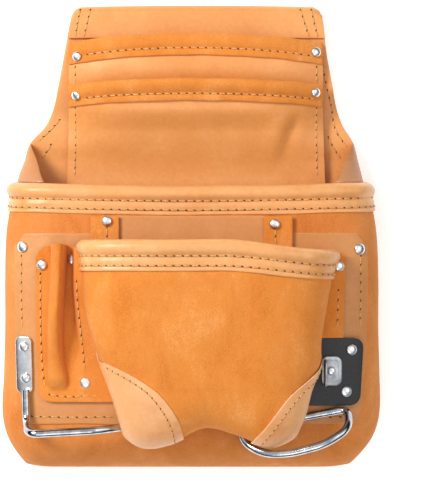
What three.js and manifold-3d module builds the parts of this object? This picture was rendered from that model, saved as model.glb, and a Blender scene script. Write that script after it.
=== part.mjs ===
// A carpenter's leather nail and tool bag that is worn on a belt. It lies on its back: +X to the
// wearer's left as seen from the front, +Y to the top of the bag, +Z out of its front.
import * as THREE from 'three';
import { mergeVertices } from 'three/addons/utils/BufferGeometryUtils.js';
import Module from 'manifold-3d';

// Driving sizes, in millimetres
const bagLength = 315;
const pouchWidth = 256;
const leather = 2;
const suede = 2;
const seat = 0.3;
const layClearance = 0.55;

// Belt wrap and tunnel
const tunnelHeight = 6.5;
const wrapFrontLeg = 23;
const wrapBackLeg = 94;
const wrapSeam = 14;

// Wrap seams above the back leg's end at which the tunnel has its full height
const tunnelStart = 2.6;

// Flat pockets on the upper front
const mouthDrop = 4;
const mouthStep = 29;
const upperMouth = bagLength - wrapFrontLeg - mouthDrop;
const lowerMouth = upperMouth - mouthStep;
const pocketHem = 196;
const pocketLeft = 84;
const pocketRight = 90;
const pocketGape = 6.5;
const stripWidth = 14.5;
const stripLeg = 7;
const stripThickness = 1.6;
const upperArch = 6;
const lowerArch = 3.5;

// Main pouch
const mainMouth = 193;
const mainDepth = 52;
const mainTaper = 0.2;
const mainBottomRound = 30;
const mainBottomBoxiness = 2.6;
const mainBoxiness = 5;
const mouthSag = 4;
const bandWidth = 19;
const bandThickness = 2.4;
const bandRoll = 2.2;
const gussetTop = 220;
const gussetRise = 42;
const gussetWidth = 18;
const gussetTipWidth = 4.5;
const gussetTipRise = 5;
const gussetThickness = 1.6;

// Tool panel and the pieces sewn on it
const panelTop = 158;
const panelBottom = 30;
const panelHalfWidth = 119;
const panelCorner = 8;
const strapWidth = 19;
const strapLeft = -57.5;
const strapRight = 58.5;
const strapEnd = 146;

// Front pouch
const frontMouth = 153;
const frontDepth = 42;
const frontTaper = 0.22;
const frontBoxiness = 3.4;
const frontBottom = 30;
const frontSeam = 66;
const frontBelly = 14;
const footStart = 90;
const frontHalfWidth = 84;
const frontMiddle = 12;
const flangeWidth = 8;
const flangeGap = 1.2;
const flangeTuck = 7;
const flangeTuckRun = 15;
const patchClearance = 1.6;
const flangeTop = 2;
const flangeLeftEnd = 54;
const flangeRightEnd = 98;
const flangeLeftSlant = 9;
const flangeRightSlant = 3;
const frontLean = 7;
const frontBandWidth = 20;
const frontWall = 1.6;
const frontRound = 24;
const patchTip = 74;

// Tool loop
const loopLeft = -104;
const loopTop = 148;
const loopBottom = 47;
const tubeMiddle = -88;
const tubeRadius = 7.4;
const tubeHeight = 14;
const tubeBoxiness = 2.6;
const tubeFootShare = 0.45;
const loopTaper = 3;

// Metal fittings
const rivetRadius = 3.6;
const rivetHeight = 2;
const rodRadius = 2.7;
const rodBend = 8;
const rodClearance = 0.4;
const earThickness = 2;
const earWidth = 11.5;
const earLength = 38;
const hiddenEarLength = 14;
const hiddenEarHeight = 38;
const clipWidth = 14;
const clipLength = 20;
const clipThickness = 1.6;
const clipLip = 9;
const clipLipThickness = 1.4;
const tabThickness = 2.4;
const tabLeft = 79;
const tabRight = 113;
const tabTop = 88.5;
const tabBottom = 46;
const tabCorner = 4;
const clipX = 94;
const clipHeight = 66;

const { clamp, lerp, smoothstep } = THREE.MathUtils;

/** Turns rows of numbers into objects with named columns. */
function table(columns, rows) {
  return rows.map((row) => Object.fromEntries(columns.map((name, i) => [name, row[i]])));
}

/** A smooth value of one column of a table at a place between its rows. */
function along(rows, place, column) {
  const last = rows.length - 1;
  const at = clamp(place, rows[0].at, rows[last].at);
  let i = 0;
  while (i < last - 1 && at > rows[i + 1].at) {
    i += 1;
  }
  const slope = (j) => {
    const a = rows[Math.max(j - 1, 0)];
    const b = rows[Math.min(j + 1, last)];
    return (b[column] - a[column]) / (b.at - a.at);
  };
  const span = rows[i + 1].at - rows[i].at;
  const t = (at - rows[i].at) / span;
  const a = rows[i][column];
  const b = rows[i + 1][column];
  const rise = t * t * (3 - 2 * t);
  const start = t * (1 - t) * (1 - t) * span * slope(i);
  const end = t * t * (t - 1) * span * slope(i + 1);
  return a + (b - a) * rise + start + end;
}

/** A point of the unit superellipse in the direction of an angle. */
function superellipse(angle, boxiness) {
  const c = Math.cos(angle);
  const s = Math.sin(angle);
  const reach = (Math.abs(c) ** boxiness + Math.abs(s) ** boxiness) ** (-1 / boxiness);
  return [c * reach, s * reach];
}

/** The height of the unit superellipse over a place between -1 and 1. */
function crown(place, boxiness) {
  return (1 - Math.min(Math.abs(place), 1) ** boxiness) ** (1 / boxiness);
}

/** A closed solid from two grids of points, the outer face and the inner face. */
function slab(outer, inner) {
  const rows = outer.length;
  const columns = outer[0].length;
  const positions = [];
  const indices = [];
  for (const grid of [outer, inner]) {
    for (const row of grid) {
      for (const point of row) {
        positions.push(point.x, point.y, point.z);
      }
    }
  }
  const face = rows * columns;
  const quad = (a, b, c, d) => indices.push(a, b, c, a, c, d);
  for (let r = 0; r < rows - 1; r += 1) {
    for (let c = 0; c < columns - 1; c += 1) {
      const k = r * columns + c;
      quad(k, k + 1, k + columns + 1, k + columns);
      quad(face + k, face + k + columns, face + k + columns + 1, face + k + 1);
    }
  }
  for (let c = 0; c < columns - 1; c += 1) {
    const k = (rows - 1) * columns + c;
    quad(c, face + c, face + c + 1, c + 1);
    quad(k, k + 1, face + k + 1, face + k);
  }
  for (let r = 0; r < rows - 1; r += 1) {
    const k = r * columns;
    const e = k + columns - 1;
    quad(k, k + columns, face + k + columns, face + k);
    quad(e, face + e, face + e + columns, e + columns);
  }
  return facingOut(positions, indices);
}

/** An indexed geometry with its faces turned outwards. */
function facingOut(positions, indices) {
  let volume = 0;
  const point = (i) => new THREE.Vector3().fromArray(positions, 3 * i);
  for (let i = 0; i < indices.length; i += 3) {
    const [a, b, c] = [point(indices[i]), point(indices[i + 1]), point(indices[i + 2])];
    volume += a.dot(b.cross(c));
  }
  if (volume < 0) {
    for (let i = 0; i < indices.length; i += 3) {
      [indices[i], indices[i + 1]] = [indices[i + 1], indices[i]];
    }
  }
  const geometry = new THREE.BufferGeometry();
  geometry.setAttribute('position', new THREE.Float32BufferAttribute(positions, 3));
  geometry.setIndex(indices);
  geometry.computeVertexNormals();
  return geometry;
}

/** The other face of a wall: a grid of points moved along its normals by a distance at each. */
function moved(points, distanceAt) {
  const near = (list, i) => list[clamp(i, 0, list.length - 1)];
  return points.map((row, r) => row.map((point, c) => {
    const across = near(row, c + 1).clone().sub(near(row, c - 1));
    const down = near(points, r + 1)[c].clone().sub(near(points, r - 1)[c]);
    return point.clone().addScaledVector(across.cross(down).normalize(), distanceAt(r, c));
  }));
}

/** Even steps from one value to another. */
function steps(from, to, count) {
  return Array.from({ length: count + 1 }, (_, i) => lerp(from, to, i / count));
}

/** A grid of points from a function of two parameters. */
function grid(us, vs, pointAt) {
  return vs.map((v) => us.map((u) => pointAt(u, v)));
}

/** A closed section carried along a row of stations, with flat ends. */
function swept(stations, section, pointAt) {
  const positions = [];
  const indices = [];
  const count = section.length;
  stations.forEach((station) => {
    section.forEach((corner) => positions.push(...pointAt(station, corner).toArray()));
  });
  for (let s = 0; s < stations.length - 1; s += 1) {
    for (let c = 0; c < count; c += 1) {
      const next = (c + 1) % count;
      const [a, b] = [s * count + c, s * count + next];
      indices.push(a, b, b + count, a, b + count, a + count);
    }
  }
  const outline = section.map(([x, y]) => new THREE.Vector2(x, y));
  const end = (stations.length - 1) * count;
  for (const [a, b, c] of THREE.ShapeUtils.triangulateShape(outline, [])) {
    const turned = THREE.ShapeUtils.area(outline) > 0 ? [a, b, c] : [b, a, c];
    indices.push(turned[1], turned[0], turned[2]);
    indices.push(end + turned[0], end + turned[1], end + turned[2]);
  }
  return facingOut(positions, indices);
}

const materials = {
  grain: new THREE.MeshStandardMaterial({ color: '#eda361', roughness: 0.5, metalness: 0 }),
  panel: new THREE.MeshStandardMaterial({ color: '#eba772', roughness: 0.55, metalness: 0 }),
  suede: new THREE.MeshStandardMaterial({ color: '#ee8f3f', roughness: 0.95, metalness: 0 }),
  tab: new THREE.MeshStandardMaterial({ color: '#2b292d', roughness: 0.5, metalness: 0 }),
  steel: new THREE.MeshStandardMaterial({ color: '#d3d7db', roughness: 0.22, metalness: 1 }),
};

const bag = new THREE.Group();

/** Adds a named piece to the bag. */
function add(name, geometry, material) {
  const mesh = new THREE.Mesh(geometry, material);
  mesh.name = name;
  bag.add(mesh);
  return mesh;
}

const halfWidth = pouchWidth / 2;

// Edges of the back as seen from the front: the place is a share of bagLength above the hem, and
// left and right are shares of half the pouch's width.
const backOutline = table(['at', 'left', 'right'], [
  [0, -0.885, 0.845],
  [0.06, -0.97, 0.955],
  [0.112, -1, 0.995],
  [0.2, -0.992, 0.995],
  [0.3, -0.985, 0.988],
  [0.4, -0.985, 0.988],
  [0.5, -0.978, 0.978],
  [0.57, -0.952, 0.95],
  [0.62, -0.935, 0.92],
  [0.66, -0.9, 0.895],
  [0.7, -0.868, 0.868],
  [0.735, -0.79, 0.815],
  [0.775, -0.742, 0.778],
  [0.83, -0.712, 0.752],
  [0.9, -0.68, 0.722],
  [0.96, -0.652, 0.705],
  [1, -0.632, 0.688],
]);

/** A height above the hem as a place along +Y. */
const above = (height) => height - bagLength / 2;
const edge = (y, side) => halfWidth * along(backOutline, y / bagLength + 0.5, side);

// The back panel rises over the belt tunnel and comes down on the end of the wrap's back leg.
const backLegEnd = bagLength - wrapBackLeg;
const panelRise = tunnelHeight + leather;

/** The height of the back panel's outer, rear face. */
function rearFace(y) {
  const onLeg = smoothstep(y, above(backLegEnd - wrapSeam), above(backLegEnd));
  const overTunnel = smoothstep(y, above(backLegEnd + wrapSeam), above(backLegEnd + tunnelStart * wrapSeam));
  return onLeg * (leather + seat) + overTunnel * (panelRise - leather - seat);
}
const innerFace = (y) => rearFace(y) + leather;

// Back panel
const wrapRadius = (tunnelHeight + leather + seat) / 2;
const backTop = bagLength - wrapRadius - leather - seat;
{
  const us = steps(0, 1, 8);
  const vs = [
    ...steps(0, backLegEnd - wrapSeam, 8),
    ...steps(backLegEnd - wrapSeam, backLegEnd + 3 * wrapSeam, 14).slice(1),
    ...steps(backLegEnd + 3 * wrapSeam, backTop, 3).slice(1),
  ];
  const face = (lift) => grid(us, vs, (u, v) => {
    const y = above(v);
    return new THREE.Vector3(lerp(edge(y, 'left'), edge(y, 'right'), u), y, rearFace(y) + lift);
  });
  add('back_panel', slab(face(leather), face(0)), materials.grain);
}

// Belt wrap: a front leg, a half-round fold over the top and a long back leg
{
  const foldMiddle = bagLength - wrapRadius - leather;
  const frontStart = bagLength - wrapFrontLeg;
  const spine = [
    ...steps(backLegEnd, foldMiddle, 6).map((h) => [h, 0, 0, -1]),
    ...steps(-90, 90, 10).slice(1, -1).map((degrees) => {
      const angle = THREE.MathUtils.degToRad(degrees);
      const [c, s] = [Math.cos(angle), Math.sin(angle)];
      return [foldMiddle + (wrapRadius + leather) * c, (wrapRadius + leather) * (1 + s), c, s];
    }),
    ...steps(foldMiddle, frontStart, 3).map((h) => [h, 2 * (wrapRadius + leather), 0, 1]),
  ];
  const face = (inset) => grid(steps(0, 1, 6), spine, (u, [h, z, ny, nz]) => {
    const y = above(h);
    const x = lerp(edge(y, 'left'), edge(y, 'right'), u);
    return new THREE.Vector3(x, y - inset * ny, z - inset * nz);
  });
  add('belt_wrap', slab(face(0), face(leather)), materials.grain);
}

// Flat pockets: each front lies on what is behind it along its sides and gapes at its mouth
const pocketSide = (x) => (x < 0 ? x / pocketLeft : x / pocketRight);
const pocketGapeAt = (x) => (1 - Math.min(Math.abs(pocketSide(x)), 1) ** 4);
const innerLeg = stripThickness + 2 * seat;
const upperArchAt = (x) => upperArch * (1 - pocketSide(x) ** 2);
const lowerArchAt = (x) => lowerArch * (1 - pocketSide(x) ** 2);

/** The height of the rear face of the upper pocket's front. */
function upperPocket(x, y) {
  const nearMouth = smoothstep(y, above(upperMouth - 3 * stripWidth), above(upperMouth - stripWidth));
  const open = smoothstep(y, above(pocketHem), above(upperMouth - stripWidth));
  const wrapStep = leather + seat;
  const gape = pocketGape * open + (innerLeg + wrapStep) * nearMouth;
  return innerFace(y) + layClearance + innerLeg * nearMouth + gape * pocketGapeAt(x);
}

/** The height of the rear face of the lower pocket's front. */
function lowerPocket(x, y) {
  const nearMouth = smoothstep(y, above(lowerMouth - 2.2 * stripWidth), above(lowerMouth - stripWidth));
  const open = smoothstep(y, above(pocketHem), above(lowerMouth - stripWidth));
  const gape = (pocketGape + innerLeg * nearMouth) * open;
  return upperPocket(x, y) + leather + layClearance + innerLeg * nearMouth + gape * pocketGapeAt(x);
}

const pocketColumns = steps(-90, 90, 14).map((degrees) => {
  const share = Math.sin(THREE.MathUtils.degToRad(degrees));
  return share < 0 ? share * pocketLeft : share * pocketRight;
});

function pocketFront(name, mouth, archAt, heightAt) {
  const face = (lift) => grid(pocketColumns, steps(0, 1, 10), (x, v) => {
    const y = above(lerp(pocketHem, mouth - stripThickness - seat + archAt(x), v));
    return new THREE.Vector3(x, y, heightAt(x, y) + lift);
  });
  add(name, slab(face(leather), face(0)), materials.grain);
}

/** A binding folded over a pocket front's mouth: an outer leg, a fold and a short inner leg. */
function pocketStrip(name, mouth, archAt, heightAt) {
  const out = leather + seat;
  const section = [
    [out, -stripWidth],
    [out + stripThickness, -stripWidth],
    [out + stripThickness, -stripWidth / 2],
    [out + stripThickness, -stripThickness],
    [out + stripThickness / 2, -stripThickness / 3],
    [leather / 2, 0],
    [-stripThickness / 2 - seat, -stripThickness / 3],
    [-seat - stripThickness, -stripThickness],
    [-seat - stripThickness, -stripLeg],
    [-seat, -stripLeg],
    [-seat, -stripThickness],
    [out, -stripThickness],
    [out, -stripWidth / 2],
  ];
  const geometry = swept(pocketColumns, section, (x, [lift, down]) => {
    const top = mouth + archAt(x);
    const y = above(top + down);
    return new THREE.Vector3(x, y, heightAt(x, Math.min(y, above(top - stripThickness))) + lift);
  });
  add(name, geometry, materials.suede);
}

pocketFront('upper_pocket_front', upperMouth, upperArchAt, upperPocket);
pocketFront('lower_pocket_front', lowerMouth, lowerArchAt, lowerPocket);
pocketStrip('upper_strip', upperMouth, upperArchAt, upperPocket);
pocketStrip('lower_strip', lowerMouth, lowerArchAt, lowerPocket);

// Main pouch: an arched front over the back panel, closed at its sides and hem
const mainFoot = leather + seat;

/** How far the main pouch stands out at a height, grown by an outset. */
function mainReach(y, outset) {
  const down = clamp((above(mainMouth) - y) / mainMouth, 0, 1);
  const below = (above(mainBottomRound) - y) / (mainBottomRound + outset);
  return (mainDepth * (1 - mainTaper * down * down) + outset)
    * crown(Math.max(below, 0), mainBottomBoxiness);
}

/** The left and right sides of the main pouch at a height. */
function mainSides(y, outset) {
  return [edge(y, 'left') - outset, edge(y, 'right') + outset];
}

/** A point of the main pouch at an angle round its section. */
function mainPoint(angle, y, outset) {
  const [left, right] = mainSides(y, outset);
  const [across, out] = superellipse(angle, mainBoxiness);
  const x = (left + right) / 2 - across * (right - left) / 2;
  return new THREE.Vector3(x, y, mainFoot + out * mainReach(y, outset));
}

/** The height of the main pouch's face over a place. */
function mainSkin(x, y, outset) {
  const [left, right] = mainSides(y, outset);
  const share = (2 * x - left - right) / (right - left);
  return mainFoot + mainReach(y, outset) * crown(share, mainBoxiness);
}

/** The height of the main pouch's mouth at an angle round its section. */
function mainMouthAt(angle) {
  return mainMouth - mouthSag * Math.sin(angle) ** 2;
}

const mainAngles = [
  ...steps(0, Math.PI / 3, 8),
  ...steps(Math.PI / 3, 2 * Math.PI / 3, 8).slice(1),
  ...steps(2 * Math.PI / 3, Math.PI, 8).slice(1),
];
{
  const rows = [
    ...steps(1, 0, 6).map((share) => ({ share, turn: 0 })),
    ...steps(0, 1, 8).slice(1).map((turn) => ({ share: 0, turn })),
  ];
  const face = (inset) => grid(mainAngles, rows, (angle, { share, turn }) => {
    const bottom = above(mainBottomRound) - (mainBottomRound - inset)
      * superellipse(turn * Math.PI / 2, mainBottomBoxiness)[1];
    const top = above(mainMouthAt(angle) - bandThickness - seat);
    const y = turn > 0 ? bottom : lerp(above(mainBottomRound), top, share);
    return mainPoint(angle, y, -inset);
  });
  add('main_shell', slab(face(0), face(suede)), materials.suede);
}

/**
 * A rolled band over a pouch's mouth, as a section of outsets and drops below its top. The shares
 * say where the roll starts and ends, and how far the inner leg and the outer leg's foot reach.
 */
function bandSection(wall, width) {
  const out = layClearance + bandThickness;
  const inner = -wall - layClearance;
  return [
    [layClearance, -width],
    [out, -width],
    [out, -0.62 * width],
    [out + bandRoll, -0.45 * width],
    [out + bandRoll, -0.22 * width],
    [out, -0.06 * width],
    [-wall / 2, 0],
    [inner - bandThickness, -0.12 * width],
    [inner - bandThickness, -0.6 * width],
    [inner, -0.6 * width],
    [inner, -bandThickness],
    [layClearance, -bandThickness],
    [layClearance, -0.5 * width],
  ];
}

const mainBand = bandSection(suede, bandWidth);
add('main_binding', swept(mainAngles.slice(1, -1), mainBand, (angle, [outset, down]) => (
  mainPoint(angle, above(mainMouthAt(angle) + down), outset)
)), materials.grain);

// Gussets: the side walls curl inwards above the band and end at the wings
for (const side of ['left', 'right']) {
  const sign = side === 'left' ? 1 : -1;
  const face = (inset) => grid(steps(0, 1, 8), steps(0, 1, 7), (u, v) => {
    const y = above(lerp(mainMouth + seat, gussetTop, v));
    const angle = u * Math.PI / 2;
    const width = lerp(gussetWidth, gussetTipWidth, v) - inset;
    const rise = lerp(gussetRise, gussetTipRise, v ** 0.9) - inset;
    const foot = edge(y, side) + sign * inset;
    const x = foot + sign * width * (1 - Math.cos(angle));
    return new THREE.Vector3(x, y, innerFace(y) + seat + rise * Math.sin(angle));
  });
  add(`gusset_${side}`, slab(face(0), face(gussetThickness)), materials.grain);
}

// Tool panel on the main pouch's front, with a tongue between the straps
const panelLift = layClearance;
const panelFace = panelLift + leather;
const tongueTop = mainMouth - bandWidth - mouthSag - 2 * seat;

/** How far the tool panel's top edge is above the hem at a place across. */
function panelTopAt(x) {
  const leftRamp = smoothstep(x, strapLeft - rampHalf, strapLeft + rampHalf);
  const rightRamp = 1 - smoothstep(x, strapRight - rampHalf, strapRight + rampHalf);
  const corner = smoothstep(Math.abs(x), panelHalfWidth - panelCorner, panelHalfWidth);
  return lerp(panelTop, tongueTop, leftRamp * rightRamp) - panelCorner * corner;
}

// Columns of the panel: closer together towards its corners and at the ramps behind the straps
const sideShares = [0.65, 0.75, 0.84, 0.9, 0.94, 0.975, 1];
const rampHalf = strapWidth / 2 - 2;
const panelColumns = [
  ...sideShares.map((share) => -share * panelHalfWidth).reverse(),
  ...steps(strapLeft - rampHalf, strapLeft + rampHalf, 3),
  ...steps(strapLeft + rampHalf, strapRight - rampHalf, 6).slice(1, -1),
  ...steps(strapRight - rampHalf, strapRight + rampHalf, 3),
  ...sideShares.map((share) => share * panelHalfWidth),
];
{
  const narrowing = 0.05;
  const face = (lift) => grid(panelColumns, steps(0, 1, 9), (x, v) => {
    const h = lerp(panelTopAt(x), panelBottom, v);
    const narrow = x * (1 - narrowing * v ** 3);
    return new THREE.Vector3(narrow, above(h), mainSkin(narrow, above(h), panelLift + lift));
  });
  add('tool_panel', slab(face(leather), face(0)), materials.panel);
}

// Suede straps from the band down to behind the front pouch
for (const [name, middle] of [['strap_left', strapLeft], ['strap_right', strapRight]]) {
  const lift = panelFace + layClearance;
  const face = (out) => grid(steps(-0.5, 0.5, 3), steps(0, 1, 5), (u, v) => {
    const x = middle + u * strapWidth;
    const y = above(lerp(tongueTop, strapEnd, v));
    return new THREE.Vector3(x, y, mainSkin(x, y, lift + out));
  });
  add(name, slab(face(suede), face(0)), materials.suede);
}

// Front pouch: place is a share of the way from its mouth down to its lowest line, and half is a
// share of its half width, middle a share of the same, and pinch narrows it where it is sewn on.
const frontOutline = table(['at', 'half', 'middle', 'pinch'], [
  [0, 1, 0, 0.02],
  [0.15, 0.985, -0.03, 0.03],
  [0.3, 0.955, -0.05, 0.04],
  [0.5, 0.905, -0.05, 0.08],
  [0.65, 0.86, -0.01, 0.1],
  [0.8, 0.8, 0, 0.26],
  [0.92, 0.7, -0.02, 0.34],
  [1, 0.6, -0.04, 0.36],
]);

// How far the belly hangs below the lowest line of the centre, across the pouch
const bellyAcross = table(['at', 'drop'], [
  [-1, 0.45],
  [-0.7, 1],
  [-0.4, 0.72],
  [-0.05, 0.05],
  [0.3, 0.42],
  [0.62, 0.95],
  [1, 0.5],
]);

const frontLift = panelFace + layClearance;
const frontDrop = frontMouth - frontBottom;
const frontTurn = 0.74;
const bellyTurn = 0.6;
const footSettle = 0.6;
const bellyBoxiness = 2.2;
const frontRoundStart = frontBottom + frontRound;

/**
 * A point of the front pouch at an angle round its section and a share down it: up to frontTurn
 * it runs down the face, then round the belly up to bellyTurn of the rest, and back to its seam.
 * Below footStart its sewn sides stay over the seam, and only the belly hangs lower.
 */
function frontPoint(angle, share, outset) {
  const [across, out] = superellipse(angle, frontBoxiness);
  let height = lerp(frontMouth, frontRoundStart, share / frontTurn);
  let depth = 1;
  let hang = 0;
  let spread = 1;
  if (share > frontTurn) {
    const turn = (share - frontTurn) / (1 - frontTurn);
    const front = Math.min(turn / bellyTurn, 1);
    const back = Math.max((turn - bellyTurn) / (1 - bellyTurn), 0);
    const [outwards, downwards] = superellipse(front * Math.PI / 2, bellyBoxiness);
    height = lerp(frontRoundStart - frontRound * downwards, frontSeam, back);
    depth = lerp(0.5 + 0.5 * outwards, 0, back);
    hang = downwards * (1 - back);
    spread = 1 - back;
  }
  const footShare = frontShare(footStart);
  if (share > footShare) {
    const foot = lerp(footStart, frontSeam, (share - footShare) / (1 - footShare));
    height = lerp(foot, height, smoothstep(out, 0, footSettle));
  }
  const down = clamp((frontMouth - height) / frontDrop, 0, 1);
  const place = along(bellyAcross, -across, 'drop');
  const half = frontHalfWidth * along(frontOutline, down, 'half') + outset;
  const middle = frontMiddle + frontHalfWidth * along(frontOutline, down, 'middle');
  const pinch = along(frontOutline, down, 'pinch') * (1 - out * spread) ** 2;
  const x = middle - across * half * (1 - pinch);
  const lean = frontLean * smoothstep(-across, 0.1, 1) * (1 - down);
  const y = above(height - lean) - (frontBelly * place + outset) * hang * out;
  const rise = (frontDepth * (1 - frontTaper * down * down) + outset) * depth;
  return new THREE.Vector3(x, y, mainSkin(x, y, frontLift) + out * rise);
}

/** The share down the front pouch's face at a height above the hem. */
function frontShare(height) {
  return frontTurn * (frontMouth - height) / (frontMouth - frontRoundStart);
}

const frontAngles = steps(0, Math.PI, 22);
{
  const top = frontShare(frontMouth - bandThickness - 3 * seat);
  const rows = [...steps(top, frontTurn, 6), ...steps(frontTurn, 1, 10).slice(1)];
  const outer = grid(frontAngles, rows, (angle, share) => frontPoint(angle, share, 0));
  // The wall thins where the belly's sides come to an edge, and its lower wall lies nearly flat.
  const thinnest = 0.3;
  const lowerWall = frontTurn + (1 - frontTurn) * bellyTurn + seat / frontDrop;
  const wallAt = (r, c) => {
    const out = superellipse(frontAngles[c], frontBoxiness)[1];
    if (rows[r] < frontShare(footStart)) {
      return frontWall;
    }
    return frontWall * clamp(rows[r] < frontTurn ? 2 * out : out, thinnest, 1);
  };
  const inner = moved(outer, wallAt).map((row, r) => (rows[r] < lowerWall ? row
    : outer[r].map((point, c) => point.clone().setZ(point.z + wallAt(r, c)))));
  add('front_pouch', slab(outer, inner), materials.suede);
}
const frontBand = bandSection(suede, frontBandWidth);
add('front_binding', swept(frontAngles.slice(1, -1), frontBand, (angle, [outset, down]) => (
  frontPoint(angle, frontShare(frontMouth + down), outset)
)), materials.grain);

// Smooth patches over the two lower corners of the front pouch: angles round its section, and the
// share of the way up to the patch's tip at which it is cut off
const patchReach = 1.27;
const patchStart = 0.2;
const patchEnd = 0.96;
for (const [name, mirror] of [['patch_left', false], ['patch_right', true]]) {
  const low = frontTurn + (1 - frontTurn) * bellyTurn;
  const high = frontShare(patchTip);
  const rear = grid(steps(0, 1, 9), steps(0, patchEnd, 10), (u, v) => {
    const reach = lerp(patchStart, patchReach, Math.sqrt(1 - v * v));
    const angle = lerp(patchStart, reach, u);
    return frontPoint(mirror ? Math.PI - angle : angle, lerp(low, high, v), patchClearance);
  });
  add(name, slab(moved(rear, () => (mirror ? -leather : leather)), rear), materials.grain);
}

/** The place where the front pouch is sewn on at a height, on its left or right. */
function frontFoot(sign, height) {
  const down = (frontMouth - Math.max(height, frontSeam)) / frontDrop;
  const half = along(frontOutline, down, 'half') * (1 - along(frontOutline, down, 'pinch'));
  const middle = frontMiddle + frontHalfWidth * along(frontOutline, down, 'middle');
  const lean = sign > 0 ? frontLean * (1 - down) : 0;
  return [middle + sign * frontHalfWidth * half, above(height - lean)];
}

// Flanges that sew the front pouch to the tool panel
const flangeSpans = [
  { name: 'flange_left', sign: -1, end: flangeLeftEnd, slant: flangeLeftSlant },
  { name: 'flange_right', sign: 1, end: flangeRightEnd, slant: flangeRightSlant },
];
const flangeEdge = (sign, slant, height) => {
  const down = (frontMouth - height) / (frontMouth - flangeLeftEnd);
  return frontMiddle + sign * (frontHalfWidth + flangeWidth - slant * down);
};
for (const { name, sign, end, slant } of flangeSpans) {
  const face = (out) => grid(steps(0, 1, 2), steps(frontMouth - flangeTop, end, 8), (u, height) => {
    const [foot, y] = frontFoot(sign, height);
    const tuck = flangeTuck * smoothstep(footStart - height, 0, flangeTuckRun);
    const x = lerp(foot + sign * (flangeGap + tuck), flangeEdge(sign, slant, height), u);
    return new THREE.Vector3(x, y, mainSkin(x, y, frontLift + out));
  });
  add(name, slab(face(suede), face(0)), materials.suede);
}

// Tool loop: a tube between two flanges, open at its top and flattened towards its foot
{
  const bore = { half: tubeRadius - suede, height: tubeHeight - suede };
  const places = [
    ...steps(0, 1, 3).slice(0, -1).map((share) => ({ left: share })),
    ...steps(0, Math.PI, 12).map((turn) => ({ turn })),
    ...steps(0, 1, 3).slice(1).map((share) => ({ right: share })),
  ];
  const face = (out) => grid(places, steps(0, 1, 9), (place, v) => {
    const height = lerp(loopTop, loopBottom, v);
    const y = above(height);
    const sink = lerp(1, tubeFootShare, smoothstep(v, 0.5, 1));
    const half = bore.half + out;
    const farLeft = loopLeft + loopTaper * smoothstep(v, 0.7, 1);
    const farRight = flangeEdge(-1, flangeLeftSlant, height) - flangeGap;
    let x = tubeMiddle;
    let bump = 0;
    if ('turn' in place) {
      const [aside, up] = superellipse(place.turn, tubeBoxiness);
      x = tubeMiddle - aside * half;
      bump = (bore.height * sink + out) * up;
    } else if ('left' in place) {
      x = lerp(farLeft, tubeMiddle - half, place.left);
    } else {
      x = lerp(tubeMiddle + half, farRight, place.right);
    }
    return new THREE.Vector3(x, y, mainSkin(x, y, frontLift) + Math.max(bump, out));
  });
  add('tool_loop', slab(face(suede), face(0)), materials.suede);
}

/** The place and the tilt of something that lies flat on a face at a point. */
function laidOn(faceAt, x, y, lift) {
  const step = 0.5;
  const slopeX = (faceAt(x + step, y) - faceAt(x - step, y)) / (2 * step);
  const slopeY = (faceAt(x, y + step) - faceAt(x, y - step)) / (2 * step);
  const normal = new THREE.Vector3(-slopeX, -slopeY, 1).normalize();
  const across = new THREE.Vector3(0, 1, 0).cross(normal).normalize();
  const up = normal.clone().cross(across);
  const origin = new THREE.Vector3(x, y, faceAt(x, y)).addScaledVector(normal, lift);
  return new THREE.Matrix4().makeBasis(across, up, normal).setPosition(origin);
}

/** A flat plate with rounded corners, its rear face at z = 0. */
function plate(width, length, thickness, corner) {
  const [w, l] = [width / 2, length / 2];
  const shape = new THREE.Shape();
  shape.moveTo(-w + corner, -l);
  shape.lineTo(w - corner, -l);
  shape.absarc(w - corner, -l + corner, corner, -Math.PI / 2, 0);
  shape.absarc(w - corner, l - corner, corner, 0, Math.PI / 2);
  shape.absarc(-w + corner, l - corner, corner, Math.PI / 2, Math.PI);
  shape.absarc(-w + corner, -l + corner, corner, Math.PI, 1.5 * Math.PI);
  return new THREE.ExtrudeGeometry(shape, { depth: thickness, bevelEnabled: false, curveSegments: 4 });
}

const wasm = await Module();
wasm.setup();

/** A geometry as a solid whose shared corners are merged. */
function solid(geometry) {
  const bare = geometry.clone();
  bare.deleteAttribute('normal');
  bare.deleteAttribute('uv');
  const merged = mergeVertices(bare, 1e-4);
  return new wasm.Manifold(new wasm.Mesh({
    numProp: 3,
    vertProperties: new Float32Array(merged.attributes.position.array),
    triVerts: new Uint32Array(merged.index.array),
  }));
}

/** Several geometries joined into one body. */
function joined(geometries) {
  const mesh = geometries.map(solid).reduce((a, b) => a.add(b)).getMesh();
  const geometry = new THREE.BufferGeometry();
  geometry.setAttribute('position', new THREE.BufferAttribute(new Float32Array(mesh.vertProperties), 3));
  geometry.setIndex(Array.from(mesh.triVerts));
  return geometry;
}

/** A round bar through corners that are bent to a radius. */
function bentBar(corners, radius, bend) {
  const path = [corners[0]];
  for (let i = 1; i < corners.length - 1; i += 1) {
    const before = corners[i - 1].clone().sub(corners[i]);
    const after = corners[i + 1].clone().sub(corners[i]);
    const cut = Math.min(bend, before.length() / 2.1, after.length() / 2.1);
    const start = corners[i].clone().addScaledVector(before.normalize(), cut);
    const end = corners[i].clone().addScaledVector(after.normalize(), cut);
    const arc = new THREE.QuadraticBezierCurve3(start, corners[i], end);
    path.push(...arc.getPoints(5));
  }
  path.push(corners[corners.length - 1]);
  const curve = new THREE.CatmullRomCurve3(path, false, 'centripetal');
  const shape = new THREE.Shape(
    steps(0, 2 * Math.PI, 8).slice(0, -1).map((a) => (
      new THREE.Vector2(radius * Math.cos(a), radius * Math.sin(a))
    )),
  );
  return new THREE.ExtrudeGeometry(shape, { extrudePath: curve, steps: 36 });
}

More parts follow.
